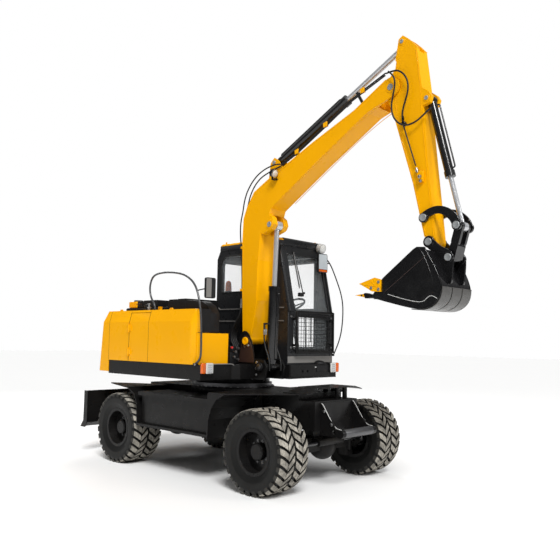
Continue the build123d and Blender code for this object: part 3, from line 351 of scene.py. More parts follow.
def placePiece(name, mesh, body, finish, bevel=0, smooth=40):
    mesh.materials.clear()
    mesh.materials.append(mats[finish])
    mesh.shade_smooth()
    mesh.set_sharp_from_angle(angle=radians(smooth))
    piece = show(name, mesh)
    if bevel:
        bevelEdges(piece, bevel)
    if body:
        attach(piece, body)
    return piece


def addLoft(bm, rings, caps=True):
    # walls between closed rings of places, with a face over the first ring and the last
    rings = [[bm.verts.new(place) for place in ring] for ring in rings]
    for first, second in zip(rings, rings[1:]):
        for k in range(len(first)):
            bm.faces.new((first[k - 1], first[k], second[k], second[k - 1]))
    if caps:
        bm.faces.new(rings[0])
        bm.faces.new(rings[-1])
    return rings


def addBox(bm, xLow, xHigh, yLow, yHigh, zLow, zHigh):
    middle = at((xLow + xHigh) / 2, (yLow + yHigh) / 2, (zLow + zHigh) / 2)
    size = Matrix.Diagonal(((xHigh - xLow) / 1000, (yHigh - yLow) / 1000, (zHigh - zLow) / 1000, 1))
    bmesh.ops.create_cube(bm, size=1, matrix=Matrix.Translation(middle) @ size)


def addSlab(bm, points, yLow, yHigh):
    # outline in X and Z, from yLow to yHigh
    addLoft(bm, [[at(x, y, z) for x, z in points] for y in (yLow, yHigh)])


def addRod(bm, start, end, radius, sides):
    first, last = at(*start), at(*end)
    turn = (last - first).to_track_quat("Z", "Y").to_matrix().to_4x4()
    place = Matrix.Translation((first + last) / 2) @ turn
    bmesh.ops.create_cone(bm, cap_ends=True, segments=sides, radius1=radius / 1000,
                          radius2=radius / 1000, depth=(last - first).length, matrix=place)


def addLathe(bm, profile, centre, axis, sides):
    # profile as (distance along the axis, radius), turned about the axis through centre
    along = Vector(axis).normalized()
    turn = along.to_track_quat("Z", "Y").to_matrix()
    angles = [2 * pi * k / sides for k in range(sides)]
    spokes = [turn @ Vector((cos(angle), sin(angle), 0)) for angle in angles]
    addLoft(bm, [[at(*centre) + (along * step + spoke * radius) / 1000 for spoke in spokes]
                 for step, radius in profile])


def addAll(name, add, shapes, body, finish, bevel=0, *sides):
    bm = bmesh.new()
    for shape in shapes:
        add(bm, *shape, *sides)
    return newPiece(name, bm, body, finish, bevel)


# The makers below all take a name, shapes in millimetres from the slew axis, body, finish and a size.


def boxes(name, shapes, body, finish, bevel):
    # each shape as lowest and highest X, Y and Z
    return addAll(name, addBox, shapes, body, finish, bevel)


def slabs(name, shapes, body, finish, bevel):
    # each shape as (outline in X and Z, lowest Y, highest Y)
    return addAll(name, addSlab, shapes, body, finish, bevel)


def lofts(name, shapes, body, finish, bevel):
    # each shape as a list of rings of places
    return addAll(name, addLoft, [[rings] for rings in shapes], body, finish, bevel)


def rods(name, shapes, body, finish, sides=16):
    # each shape as (start, end, radius)
    return addAll(name, addRod, shapes, body, finish, 0, sides)


def turned(name, shapes, body, finish, sides=32):
    # each shape as (profile, centre, axis)
    return addAll(name, addLathe, shapes, body, finish, 0, sides)


def curvePiece(name, lines, body, finish, radius, smooth):
    # round bar along each line of control points, either smooth and open or straight and closed
    curve = bpy.data.curves.new(name, "CURVE")
    curve.dimensions = "3D"
    curve.bevel_depth = radius / 1000
    curve.bevel_resolution = 3 if smooth else 2
    curve.use_fill_caps = smooth
    for points in lines:
        line = curve.splines.new("NURBS" if smooth else "POLY")
        line.points.add(len(points) - 1)
        for point, place in zip(line.points, points):
            point.co = (*at(*place), 1)
        line.use_cyclic_u = not smooth
        if smooth:
            line.order_u = 3
            line.use_endpoint_u = True
            line.resolution_u = 8
    return placePiece(name, settledMesh(show(name, curve)), body, finish)


def hoses(name, lines, body, finish, radius):
    return curvePiece(name, lines, body, finish, radius, True)


def loopBars(name, loops, body, finish, radius):
    return curvePiece(name, loops, body, finish, radius, False)


def roundedLoop(corners, reach, steps=5):
    # closed line with each corner rounded off, reach millimetres back from the corner
    loop = []
    for k, corner in enumerate(corners):
        here = Vector(corner)
        back = (Vector(corners[k - 1]) - here).normalized()
        on = (Vector(corners[(k + 1) % len(corners)]) - here).normalized()
        for step in range(steps + 1):
            t = step / steps
            loop.append((here + back * reach * (1 - t)).lerp(here + on * reach * t, t))
    return loop


def makeTree(name, sockets):
    tree = bpy.data.node_groups.new(name, "GeometryNodeTree")
    face = tree.interface
    face.new_socket("Geometry", in_out="INPUT", socket_type="NodeSocketGeometry")
    for label, kind, value in sockets:
        face.new_socket(label, in_out="INPUT", socket_type="NodeSocket" + kind).default_value = value
    face.new_socket("Finish", in_out="INPUT", socket_type="NodeSocketMaterial")
    face.new_socket("Geometry", in_out="OUTPUT", socket_type="NodeSocketGeometry")
    return tree, addNode(tree, "NodeGroupInput")


def endTree(tree, start, points, instance, turn, move=None):
    # copies of the instance at the points, realized and given their finish
    put = addNode(tree, "GeometryNodeInstanceOnPoints", {
        "Points": points.outputs[0], "Instance": instance.outputs[0], "Rotation": turn.outputs[0]})
    if move:
        put = addNode(tree, "GeometryNodeTransform", {"Geometry": put.outputs[0], "Translation": move})
    real = addNode(tree, "GeometryNodeRealizeInstances", {0: put.outputs[0]})
    finish = addNode(tree, "GeometryNodeSetMaterial", {
        "Geometry": real.outputs[0], "Material": start.outputs["Finish"]})
    addNode(tree, "NodeGroupOutput", {0: finish.outputs[0]})
    return tree


def runTree(name, mesh, tree, values, body, finish, smooth=40):
    holder = show(name + "Base", mesh)
    modifier = holder.modifiers.new("nodes", "NODES")
    modifier.node_group = tree
    sockets = {i.name: i.identifier for i in tree.interface.items_tree if i.in_out == "INPUT"}
    for label, value in values.items():
        modifier[sockets[label]] = value
    modifier[sockets["Finish"]] = mats[finish]
    return placePiece(name, settledMesh(holder), body, finish, 0, smooth)


def makeBoltTree():
    # a hexagon head on a washer at each point, standing along the point's facing
    tree, start = makeTree("boltHeads", [
        ("Head Radius", "Float", 0.012), ("Head Height", "Float", 0.01),
        ("Washer Radius", "Float", 0.016), ("Washer Height", "Float", 0.003)])
    shapes = addNode(tree, "GeometryNodeJoinGeometry")
    for label, sides in (("Head", 6), ("Washer", 20)):
        height = start.outputs[label + " Height"]
        disc = addNode(tree, "GeometryNodeMeshCylinder", {
            "Vertices": sides, "Radius": start.outputs[label + " Radius"], "Depth": height})
        lift = addNode(tree, "ShaderNodeCombineXYZ", {"Z": times(tree, height, 0.5)})
        lifted = addNode(tree, "GeometryNodeTransform", {
            "Geometry": disc.outputs["Mesh"], "Translation": lift.outputs[0]})
        feed(tree, shapes, {0: lifted.outputs[0]})
    facing = addNode(tree, "GeometryNodeInputNamedAttribute", {"Name": "facing"}, data_type="FLOAT_VECTOR")
    turn = addNode(tree, "FunctionNodeAlignRotationToVector", {"Vector": facing.outputs["Attribute"]},
                   axis="Z")
    spots = addNode(tree, "GeometryNodeMeshToPoints", {0: start.outputs["Geometry"]})
    return endTree(tree, start, spots, shapes, turn)


boltTree = makeBoltTree()


def bolts(name, spots, body, finish, radius):
    # each spot as (place, facing)
    mesh = bpy.data.meshes.new(name)
    mesh.from_pydata([at(*place) for place, facing in spots], [], [])
    facings = mesh.attributes.new("facing", "FLOAT_VECTOR", "POINT")
    for entry, (place, facing) in zip(facings.data, spots):
        entry.vector = facing
    shares = {"Head Radius": 1, "Head Height": 0.7, "Washer Radius": 1.35, "Washer Height": 0.22}
    values = {label: radius * share / 1000 for label, share in shares.items()}
    return runTree(name, mesh, boltTree, values, body, finish)


def build(body, rows):
    # rows of maker, name, finish, size and shapes; gives the pieces by name
    return {name: maker(name, shapes, body, finish, size) for maker, name, finish, size, *shapes in rows}


def button(radius, straight, height, top):
    # profile of a cap with a sloping edge
    return [(0, radius), (straight, radius), (height, top), (height, 0.5)]


def chain(radius, *stops):
    return [(start, end, radius) for start, end in zip(stops, stops[1:])]


# ---- tyres and rims

tyreShape = {
    "radius": 437.5, "width": 418, "lugs": 28, "lugDepth": 24, "rimRadius": 222, "rimHalf": 178,
    "wheelY": 831, "nuts": 10, "nutRing": 112, "nutFace": 64.2,
    # distance across the tread and round the tyre, for the blocks of one pitch on each half
    "outer": [
        [(-204, 0), (-178, 15), (-151, 32), (-151, 96), (-178, 79), (-204, 62)],
        [(-148, 34), (-127, 50), (-106, 66), (-104, 128), (-126, 114), (-148, 98)],
        [(-98, 84), (-80, 65), (-60, 43), (-58, 101), (-78, 123), (-96, 142)],
        [(-57, 39), (-38, 17), (-17, -6), (-11, 50), (-34, 75), (-55, 98)],
    ],
    "inner": [
        [(11, 0), (30, 14), (54, 32), (54, 95), (34, 80), (12, 62)],
        [(57, 34), (78, 49), (98, 64), (100, 126), (80, 113), (57, 97)],
        [(106, 84), (130, 60), (152, 39), (153, 97), (132, 117), (108, 140)],
        [(156, 36), (180, 13), (204, -8), (204, 48), (182, 69), (157, 93)],
    ],
}


def aroundWheel(x, y, r, angle):
    return (x + r * sin(angle), y, tyreShape["radius"] + r * cos(angle))


def onTread(s, axleX, hand, u, v, drop):
    # place at a distance across and round the tyre, drop millimetres under its outside
    return at(*aroundWheel(axleX, hand * s["wheelY"] + u, s["radius"] - drop, v / s["radius"]))


def crownDrop(u):
    # how far the tread falls away towards the shoulder
    return 16 * max(0, (abs(u) - 140) / 66) ** 2


def addTreadBlock(bm, dustAndSheen, outline, s, axleX, hand):
    middleU = sum(p[0] for p in outline) / len(outline)
    middleV = sum(p[1] for p in outline) / len(outline)
    # depth under the tread, growth and wear of the block's three rings
    layers = ((0, 1, 1), (2.5, 1.01, 0.12), (s["lugDepth"], 1.06, 0))
    rings = []
    for drop, grow, worn in layers:
        grown = [(middleU + (u - middleU) * grow, middleV + (v - middleV) * grow) for u, v in outline]
        rings.append([onTread(s, axleX, hand, u, v, crownDrop(u) + drop) for u, v in grown])
    rings = addLoft(bm, rings, False)
    for ring, (drop, grow, worn) in zip(rings, layers):
        for vert in ring:
            vert[dustAndSheen] = worn
    # the outline runs up one long side and down the other, so its top is a strip of quads
    top = rings[0]
    for k in range(len(outline) // 2 - 1):
        bm.faces.new((top[k], top[k + 1], top[-2 - k], top[-1 - k]))


def makeTread(s, axleX, hand):
    # one pitch of the tread, with the feet of its shoulder blocks on the two side walls
    pitch = 2 * pi * s["radius"] / s["lugs"]
    bm = bmesh.new()
    dustAndSheen = bm.verts.layers.float.new("dustAndSheen")
    for outlines, shift in ((s["outer"], 0), (s["inner"], pitch / 2)):
        for outline in outlines:
            addTreadBlock(bm, dustAndSheen, [(u, v + shift) for u, v in outline], s, axleX, hand)
    for side, v0, v1 in ((-1, 2, 60), (1, pitch / 2 - 6, pitch / 2 + 46)):
        corners = ((v0, 204, 16), (v1, 204, 16), (v1 - 4, 209, 56), (v0 + 4, 209, 56))
        foot = [bm.verts.new(onTread(s, axleX, hand, side * u, v, drop)) for v, u, drop in corners]
        for vert in foot:
            vert[dustAndSheen] = 0.1
        bm.faces.new(foot)
    bmesh.ops.recalc_face_normals(bm, faces=bm.faces)
    return toMesh("treadPitch", bm)


def makeRingTree():
    # copies round the wheel's axis
    tree, start = makeTree("roundTheWheel", [("Count", "Int", 1), ("Centre", "Vector", (0, 0, 0))])
    count, centre = start.outputs["Count"], start.outputs["Centre"]
    line = addNode(tree, "GeometryNodeMeshLine", {"Count": count, "Offset": (0, 0, 0)}, mode="OFFSET")
    index = addNode(tree, "GeometryNodeInputIndex")
    share = addNode(tree, "ShaderNodeMath", {0: index.outputs[0], 1: count}, operation="DIVIDE")
    turn = addNode(tree, "FunctionNodeAxisAngleToRotation", {
        "Axis": (0, 1, 0), "Angle": times(tree, share.outputs[0], 2 * pi)})
    minus = addNode(tree, "ShaderNodeVectorMath", {0: centre, "Scale": -1}, operation="SCALE")
    toAxis = addNode(tree, "GeometryNodeTransform", {
        "Geometry": start.outputs["Geometry"], "Translation": minus.outputs[0]})
    return endTree(tree, start, line, toAxis, turn, centre)


ringTree = makeRingTree()


def makeWheel(name, axleX, hand, s):
    body = "wheel_" + name
    middle = hand * s["wheelY"]
    half = s["width"] / 2
    base = s["radius"] - s["lugDepth"]
    side = [(s["rimHalf"] - 12, s["rimRadius"]), (s["rimHalf"] - 2, 243), (half - 16, 268),
            (half - 7, 300), (half - 4, 306), (half - 4, 314), (half - 1, 345), (half, 372),
            (half - 3, 390), (half - 9, base - 14), (half - 30, base - 4), (half - 70, base), (0, base)]
    profile = side + [(-u, r) for u, r in reversed(side[:-1])] + [side[0]]
    angles = [2 * pi * k / 96 for k in range(96)]
    bm = bmesh.new()
    dustAndSheen = bm.verts.layers.float.new("dustAndSheen")
    rings = addLoft(bm, [[at(*aroundWheel(axleX, middle + u, r, angle)) for angle in angles]
                         for u, r in profile], False)
    # a faint band of painted sheen, in the dust's colour, on the side wall's raised ring
    for ring, (u, r) in zip(rings, profile):
        for vert in ring:
            vert[dustAndSheen] = 0.012 if 372 > r > 300 else 0
    carcass = newPiece("tyreCarcass." + name, bm, body, "tyreRubber", smooth=35)
    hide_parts("tyre_" + name)
    centre = at(axleX, middle, s["radius"])
    tread = runTree("tyreTread." + name, makeTread(s, axleX, hand), ringTree,
                    {"Count": s["lugs"], "Centre": centre}, body, "tyreRubber", 30)
    turns = [2 * pi * (k + 0.5) / s["nuts"] for k in range(s["nuts"])]
    face = middle + hand * s["nutFace"]
    spots = [(aroundWheel(axleX, face, s["nutRing"], turn), (0, hand, 0)) for turn in turns]
    bolts("wheelNuts." + name, spots, body, "pinGrey", 13)


for name, axleX in (("front", 1420), ("rear", -1068)):
    makeWheel(name + "_left", axleX, 1, tyreShape)
    makeWheel(name + "_right", axleX, -1, tyreShape)
print("wheels ready")

# ---- hoods and the covers on top

hoodShape = {
    "side": -1000, "crease": 1780, "top": 1925, "lean": 40, "low": 1286, "seams": (-1350, -890, -470),
    "half": 2.5, "out": 0.6, "deep": 14,
}


def makeSeams(s):
    side, half, out, deep = s["side"], s["half"], s["out"], s["deep"]
    boxes("hoodSeams", [(x - half, x + half, side - out, side + deep, s["low"] + 3, s["crease"])
                        for x in s["seams"]], "upper", "seamShade", 0)
    for x in s["seams"]:
        rings = []
        for z in (s["crease"], s["top"] - 12):
            y = side + s["lean"] * (z - s["crease"]) / (s["top"] - s["crease"])
            corners = ((-half, -out), (half, -out), (half, deep), (-half, deep))
            rings.append([at(x + dx, y + dy, z) for dx, dy in corners])
        lofts("hoodSeamTop." + str(abs(x)), [rings], "upper", "seamShade", 0)


makeSeams(hoodShape)
returnRim = [(-925, 1926), (-758, 1926), (-758, 1656), (-885, 1656)]
build("upper", [
    # lip of sheet behind the service door's lower gap, then the valves' cover
    (boxes, "doorSills", "yellowPaint", 0, (-884, -476, -999.4, -986, 1294.3, 1299.7)),
    (boxes, "valveCover", "coverBlack", 14, (-440, -80, -742, -200, 1562, 2055)),
    (boxes, "valveLid", "blackPaint", 6,
     (-425, -265, -738, -205, 2050, 2066), (-245, -85, -738, -205, 2050, 2070)),
    (slabs, "valveSlope", "coverBlack", 6, ([
        (-90, 1562), (298, 1562), (298, 1656), (396, 1656), (396, 1880), (330, 1972), (227, 2026),
        (-90, 2052)], -742, -600)),
    (lofts, "hoodReturn", "coverBlack", 0, [[at(x, y, z) for y, z in returnRim] for x in (420.6, 423)]),
    (turned, "tankCap", "coverBlack", 32, (
        [(0, 44), (40, 44), (44, 40), (60, 46), (74, 38), (82, 20), (84, 0.5)], (-700, -860, 1925), upward)),
    (turned, "fillerNeck", "zincSteel", 32, (
        [(0, 20), (26, 20), (28, 28), (44, 28), (46, 14), (74, 14), (76, 24), (88, 24), (90, 0.5)],
        (-640, -880, 1925), upward)),
    (slabs, "hoodEyes", "yellowPaint", 2, *[
        ([(x - 34, 1925), (x - 24, 1948), (x + 24, 1948), (x + 34, 1925)], -905, -893)
        for x in (-1230, -150)]),
    (boxes, "frontBoxSeam", "seamShade", 0, (424, 429.2, -946, -476, 1646, 1651)),
    # louvres on the left hood, its lock buttons and the lamps at the tail
    (boxes, "leftLouvres", "yellowPaint", 2, *[
        (x - 95, x + 95, 996, 1005, z, z + 16) for x in (-1240, -960, -680) for z in range(1430, 1736, 34)]),
    (turned, "leftLocks", "coverBlack", 24, *[
        (button(24, 5, 7, 20), (x, 1000, 1560), toLeft) for x in (-1110, -560)]),
    (boxes, "tailLampShells", "coverBlack", 8, *[
        (-1562, -1520, y, y + 180, 1180, 1290) for y in (-960, 780)]),
    (boxes, "tailLampRed", "redLens", 6, *[(-1568, -1558, y, y + 80, 1190, 1280) for y in (-950, 870)]),
    (boxes, "tailLampAmber", "amberLens", 6, *[(-1568, -1558, y, y + 74, 1190, 1280) for y in (-864, 790)]),
])
build("engine_cover", [
    (boxes, "bayCover", "coverBlack", 10,
     (-1108, -980, -742, 60, 1976, 2062), (-974, -675, -742, 60, 1976, 2070)),
    (boxes, "fillerBox", "yellowPaint", 12, (-1310, -1125, -742, -560, 1976, 2060)),
    (turned, "fillerCap", "pinGrey", 32, (button(62, 16, 22, 55), (-1215, -650, 2060), upward)),
    (rods, "coverHandle", "brownPlate", 16, *chain(
        6, (-1080, -750, 2022), (-1080, -775, 2022), (-990, -775, 2022), (-990, -750, 2022))),
])
print("hoods ready")

# ---- platform, lamps and the boom's foot

footY = -266                      # outer face of the bracket at the boom's foot
pinX, pinZ = 480, 1596            # the boom's pin
lowX, lowZ = 770, 1262            # the lift cylinder's lower pin
platform = build("upper", [
    (slabs, "footRim", "blackPaint", 2, ([
        (352, 1300), (668, 1300), (664, 1370), (644, 1476), (606, 1580), (560, 1650), (515, 1680),
        (475, 1684), (436, 1665), (408, 1620), (392, 1560), (368, 1440)], footY - 6, footY - 0.5)),
    (slabs, "footPlate", "brownPlate", 2, ([
        (388, 1306), (656, 1306), (654, 1350), (636, 1446), (600, 1542), (560, 1600), (524, 1624),
        (494, 1626), (464, 1612), (444, 1574), (430, 1522), (408, 1410)], footY - 9, footY - 5)),
    (turned, "footPinCap", "yellowPaint", 32, (
        [(0, 46), (14, 46), (18, 42), (18, 18), (14, 16), (14, 0.5)],
        (pinX + 42, footY - 22, pinZ - 34), toRight)),
    (boxes, "footKeeper", "coverBlack", 2,
     (pinX + 4, pinX + 96, footY - 16, footY - 8, pinZ - 104, pinZ - 80)),
    (bolts, "footBolts", "zincSteel", 14, *[((pinX + x, footY - 16, pinZ - 92), toRight) for x in (22, 78)]),
    (turned, "lowPinCap", "coverBlack", 32, (button(52, 10, 14, 48), (lowX, footY - 23, lowZ), toRight)),
    (turned, "lowPinFace", "pinGrey", 32, (button(34, 6, 8, 30), (lowX, footY - 37, lowZ), toRight)),
    (bolts, "lowPinBolts", "zincSteel", 13, *[
        ((x, footY - 2, z), toRight) for x, z in ((700, 1310), (686, 1240), (694, 1166))]),
    # front face of the platform: a grey line of painted highlight along its bent edge, lamps and fittings
    (boxes, "platformFrontPlate", "blackPaint", 2, (600, 607, -436, -250, 1118, 1270)),
    (hoses, "platformEdge", "greyPaint", 7, [
        (536, -960, 1291), (540, -700, 1291), (545, -560, 1291), (548, -500, 1285), (550, -470, 1240),
        (550, -465, 1150)]),
    (boxes, "lampShells", "coverBlack", 6,
     (535, 566, -994, -835, 1187, 1307), (890, 921, 835, 994, 1177, 1297)),
    (boxes, "whiteLamps", "whiteLens", 8,
     (562, 582, -938, -835, 1187, 1307), (917, 937, 835, 938, 1177, 1297)),
    (boxes, "amberLamps", "amberLens", 12,
     (540, 582, -1000, -941, 1187, 1307), (895, 937, 941, 1000, 1177, 1297)),
    (boxes, "bulbSpots", "chromeRod", 2, *[
        (x, x + 3, y - 30, y + 30, z + 25 * k - 22, z + 25 * k - 3)
        for x, y, z in ((581.5, -886, 1245), (936.5, 886, 1235)) for k in (-1, 0, 1, 2)]),
    (boxes, "redButton", "redLens", 2, (534, 541, -815, -800, 1238, 1252)),
    # valves between the front box and the boom's foot
    (boxes, "valveBlock", "coverBlack", 6,
     (330, 420, -440, -300, 1286, 1420), (345, 405, -420, -330, 1420, 1500)),
    (turned, "valveFittings", "zincSteel", 12, *[
        ([(0, 11), (18, 11), (20, 14), (32, 14), (33, 0.5)], spot, forward)
        for spot in ((432, -405, 1370), (428, -380, 1430), (440, -350, 1340), (425, -330, 1470))]),
    (turned, "valveCapRed", "redLens", 12, ([(0, 13), (22, 13), (24, 0.5)], (425, -430, 1480), forward)),
    # front beam of the cab's floor: two holes, a domed cap and plates
    (boxes, "cabBeam", "blackPaint", 3, (888, 898, 110, 830, 1135, 1282)),
    (turned, "beamHoles", "coverBlack", 20, *[
        ([(0, 20), (3, 20), (3, 13), (-2, 12), (-2, 0.5)], (898, y, 1200), forward) for y in (333, 426)]),
    (turned, "beamDome", "coverBlack", 32, (
        [(0, 78), (14, 76), (26, 66), (36, 46), (42, 20), (43, 0.5)], (850, 700, 1286), upward)),
    (boxes, "beamPlate", "coverBlack", 3, (897, 905, 590, 830, 1190, 1270)),
    (boxes, "labelBlank", "paleEdge", 1, (898, 900, 560, 600, 1240, 1252)),
])
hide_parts("marker_lamps")
print("platform trim ready")

# ---- cab

cabShape = {
    "rear": -500, "front": 830, "topFront": 655, "right": 120, "left": 985, "knee": 1950, "roof": 2780,
    "bandTop": 2834, "wiperY": 385,
}


def onScreen(y, z, out=0):
    # point on the slanted windscreen, out millimetres in front of it
    s = cabShape
    x = s["front"] - (z - s["knee"]) / (s["roof"] - s["knee"]) * (s["front"] - s["topFront"])
    return (x + out, y, z + out * 0.2)


def around(first, second, corner):
    # corners of a rectangle in the two coordinates that corner turns into a place
    (a, b), (c, d) = first, second
    return [corner(a, c), corner(b, c), corner(b, d), corner(a, d)]


def makeCabTrim(s):
    top, low, high, y = s["topFront"], s["roof"], s["bandTop"], s["wiperY"]
    band = roundedLoop(around((s["rear"] + 26, top + 14), (s["right"] - 14, s["left"] + 3),
                              lambda x, y: (x, y, 0)), 80, 6)
    trim = around((128, 236), (1930, 2700), lambda y, z: (y, z))
    screen = around((238, 905), (1936, 2664), lambda y, z: onScreen(y, z, 2))
    lower = around((215, 890), (1458, 1872), lambda y, z: (832, y, z))
    rear = around((222, 882), (2074, 2626), lambda y, z: (-502, y, z))
    side = [(x, 118, z) for x, z in ((-400, 2203), (556, 2203), (516, 2697), (-358, 2697), (-417, 2600))]
    panes = [around((-190, 540), heights, lambda x, z: (x, 987, z))
             for heights in ((1415, 1930), (2000, 2630))]
    mx, my, mz = onScreen(y - 10, 2150, 14)
    build("upper", [
        # grey band and visor under the roof cap, trim that narrows the screen beside the right pillar
        (lofts, "roofBand", "cabPaint", 4, [
            [at(p.x, p.y, z) for p in band] for z in (low - 4, low, high, high + 2)]),
        (slabs, "roofVisor", "cabPaint", 5, ([
            (top + 4, 2790), (top + 17, 2790), (top + 16, 2850), (top - 4, 2873), (top - 60, 2876),
            (top - 60, 2860)], 205, 965)),
        (lofts, "screenTrim", "cabPaint", 5, [[at(*onScreen(*p, out)) for p in trim] for out in (3, 12)]),
        (boxes, "roofEyes", "yellowPaint", 3, *[
            (x - 14, x + 14, y - 4, y + 4, 2866, 2898) for x, y in ((-380, 170), (560, 930), (-380, 930))]),
        (loopBars, "windowRubber", "blackRubber", 9, roundedLoop(screen, 60), roundedLoop(lower, 40),
         roundedLoop(rear, 60), roundedLoop(side, 40)),
        *[(rods, "pillarRib." + str(y), "cabPaint", 16, (onScreen(y, 1940, 6), onScreen(y, 2760, 6), 12))
          for y in (150, 955)],
        (boxes, "cabFoot", "greyPaint", 4, (830, 836, 128, 978, 1300, 1382)),
        (boxes, "cabCrossbar", "cabPaint", 5, (812, 838, 170, 935, 1890, 1926)),
        (boxes, "cabCornerPosts", "cabPaint", 8,
         (826, 838, 122, 182, 1384, 1926), (826, 838, 925, 983, 1384, 1926)),
        # wiper: motor, arm and blade
        (boxes, "wiperMotor", "coverBlack", 8, (mx - 10, mx + 34, my - 38, my + 38, mz - 26, mz + 22)),
        (rods, "wiperArm", "coverBlack", 16, (onScreen(y + 20, 2160, 36), onScreen(y + 10, 2450, 20), 7),
         (onScreen(y + 10, 2450, 20), onScreen(y - 5, 2600, 16), 5),
         (onScreen(y + 20, 2160, 30), onScreen(y + 20, 2160, 60), 14)),
        (rods, "wiperBlade", "blackRubber", 16, (onScreen(y - 2, 2230, 10), onScreen(y - 30, 2705, 10), 6)),
        (rods, "wiperSpine", "zincSteel", 16, (onScreen(y + 6, 2245, 17), onScreen(y - 22, 2690, 17), 3.5)),
    ])
    # pressed ribs on the right panel: a light grey line of painted highlight along each rib, with a ridge in
    # the panel's colour under it
    for name, z, x, ahead in (("upper", 1975, -439, 60), ("lower", 1816, -440, 40),
                              ("front", 1980, 650, 766), ("low", 1816, 660, 764)):
        build("upper", [
            (hoses, "sideRib." + name, "greyPaint", 7, [
                (x - 26, 118, z + 34), (x, 118, z + 4), (x + 40, 118, z), (ahead, 118, z)]),
            (hoses, "sideRibShade." + name, "cabPaint", 7, [
                (x - 10, 119, z - 10), (x + 40, 119, z - 14), (ahead, 119, z - 14)]),
        ])
    build("cab_door", [
        (loopBars, "doorRubber", "blackRubber", 8, *[roundedLoop(pane, 30) for pane in panes]),
        (boxes, "doorHandle", "coverBlack", 5, (500, 585, 984, 1000, 1955, 1985)),
        (rods, "doorGrab", "coverBlack", 16, *chain(
            7, (440, 986, 1560), (440, 1000, 1560), (440, 1000, 1900), (440, 986, 1900))),
    ])


makeCabTrim(cabShape)
print("cab trim ready")

# ---- guard over the lower screen

guardShape = {"x": 888, "y": (200, 930), "z": (1420, 1940), "bar": 26, "wire": 3, "across": 15, "up": 11}


def makeGuard(s):
    x, (y0, y1), (z0, z1), bar = s["x"], s["y"], s["z"], s["bar"]
    out = x + 20
    wires = []
    for k in range(1, s["across"]):
        y = y0 + (y1 - y0) * k / s["across"]
        wires.append(((x + 8, y, z0 + 10), (x + 8, y, z1 - 10), s["wire"]))
    for k in range(1, s["up"]):
        z = z0 + (z1 - z0) * k / s["up"]
        wires.append(((x + 13, y0 + 10, z), (x + 13, y1 - 10, z), s["wire"]))
    pieces = build("upper", [
        (boxes, "guardFrame", "blackPaint", 4, (x, out, y0, y0 + bar, z0, z1), (x, out, y1 - bar, y1, z0, z1),
         (x, out, y0 + bar, y1 - bar, z0, z0 + bar), (x, out, y0 + bar, y1 - bar, z1 - bar, z1), *[
            (830.5, x, y - 12, y + 12, z - 14, z + 14)
            for y in (y0 + 13, y1 - 13) for z in (z0 + 100, z1 - 100)]),
        (rods, "guardWires", "blackPaint", 8, *wires),
        (bolts, "guardBolts", "zincSteel", 11, *[
            ((838, y, z), forward) for y in (178, 950) for z in (1490, 1870)]),
    ])
    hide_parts("guard_grille")


makeGuard(guardShape)
print("guard ready")

# ---- mirrors

build("upper", [
    (boxes, "leftMirrorGlass", "mirrorGlass", 2, (792, 795.5, 744, 909, 2512, 2707)),
    (boxes, "leftMirrorLamp", "amberLens", 4, (792, 798, 747, 906, 2478, 2506)),
    (boxes, "rightMirrorPlate", "greyPaint", 2, (526.5, 529.5, -926, -850, 2056, 2274)),
    (boxes, "rightMirrorGlass", "mirrorGlass", 2, (496, 499.5, -924, -794, 2056, 2274)),
    (boxes, "leftMirrorBack", "mirrorGlass", 2, (762.5, 766, 743, 910, 2480, 2706)),
])
print("mirrors ready")

# ---- rails and hoses in smooth lines

rails = build("upper", [
    (hoses, "rightRail", "railGrey", 12, [
        (-440, -934, 1930), (-440, -934, 1985), (-510, -930, 2050), (-560, -926, 2120), (-578, -926, 2230),
        (-520, -929, 2350), (-352, -938, 2384), (-84, -956, 2376), (193, -974, 2330), (401, -990, 2215),
        (500, -998, 2020), (545, -1002, 1780), (555, -1002, 1480), (548, -1002, 1340), (470, -1002, 1306)]),
    (hoses, "leftRail", "coverBlack", 8, [
        (675, 1002, 2690), (748, 1004, 2645), (874, 1004, 2395), (985, 1004, 2125), (992, 1004, 1850),
        (940, 1004, 1570), (838, 1002, 1395)]),
    (hoses, "rightMirrorArm", "coverBlack", 7, [(432, -984, 2130), (470, -930, 2150), (500, -860, 2165)]),
    (hoses, "leftMirrorArm", "coverBlack", 7, [(769, 1002, 2600), (774, 960, 2604), (776, 915, 2600)]),
    (boxes, "railFeet", "coverBlack", 3,
     (430, 500, -1014, -992, 1276, 1304), (635, 690, 984, 1010, 2674, 2706),
     (790, 850, 984, 1010, 1380, 1410), (-456, -424, -950, -918, 1925, 1934)),
    (bolts, "railBolts", "zincSteel", 9, ((465, -1014, 1288), toRight), ((662, 1010, 2690), toLeft),
     ((820, 1010, 1395), toLeft)),
])
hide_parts("handrails")

footHoses = {
    "radius": 10, "count": 4, "first": -218, "apart": 34, "back": -9,
    "line": [(354, 1985), (353, 1930), (318, 1866), (246, 1766), (186, 1668), (186, 1570), (236, 1500),
             (276, 1440), (276, 1285)],
}
stickHoses = {
    "radius": 9,
    "upper": [(2520, -246, 4356), (2629, -250, 4366), (2722, -250, 4310), (2780, -250, 4215),
              (2786, -250, 4100), (2745, -250, 3990), (2712, -250, 3890), (2713, -240, 3800)],
    "lower": [(2560, -270, 4359), (2628, -272, 4300), (2645, -272, 4200), (2620, -272, 4090),
              (2596, -272, 3985), (2614, -272, 3870), (2680, -266, 3780), (2775, -260, 3740),
              (2880, -254, 3760), (2970, -240, 3825), (3030, -220, 3880)],
}


def makeHoses(foot, stick):
    for k in range(foot["count"]):
        y = foot["first"] + k * foot["apart"]
        shift = foot["back"] * k
        # each hose lies further back than the last, except in its bend at Z 1500
        line = [(x + (0 if z == 1500 else shift), y, z) for x, z in foot["line"]]
        piece = hoses("footHose." + str(k), [line], None, "blackRubber", foot["radius"])
        if k == 0:
            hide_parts("foot_hoses")
        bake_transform(piece)
    for name in ("upper", "lower"):
        piece = hoses(name + "StickHose", [stick[name]], None, "blackRubber", stick["radius"])
        if name == "upper":
            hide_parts("stick_hoses")
        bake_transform(piece)


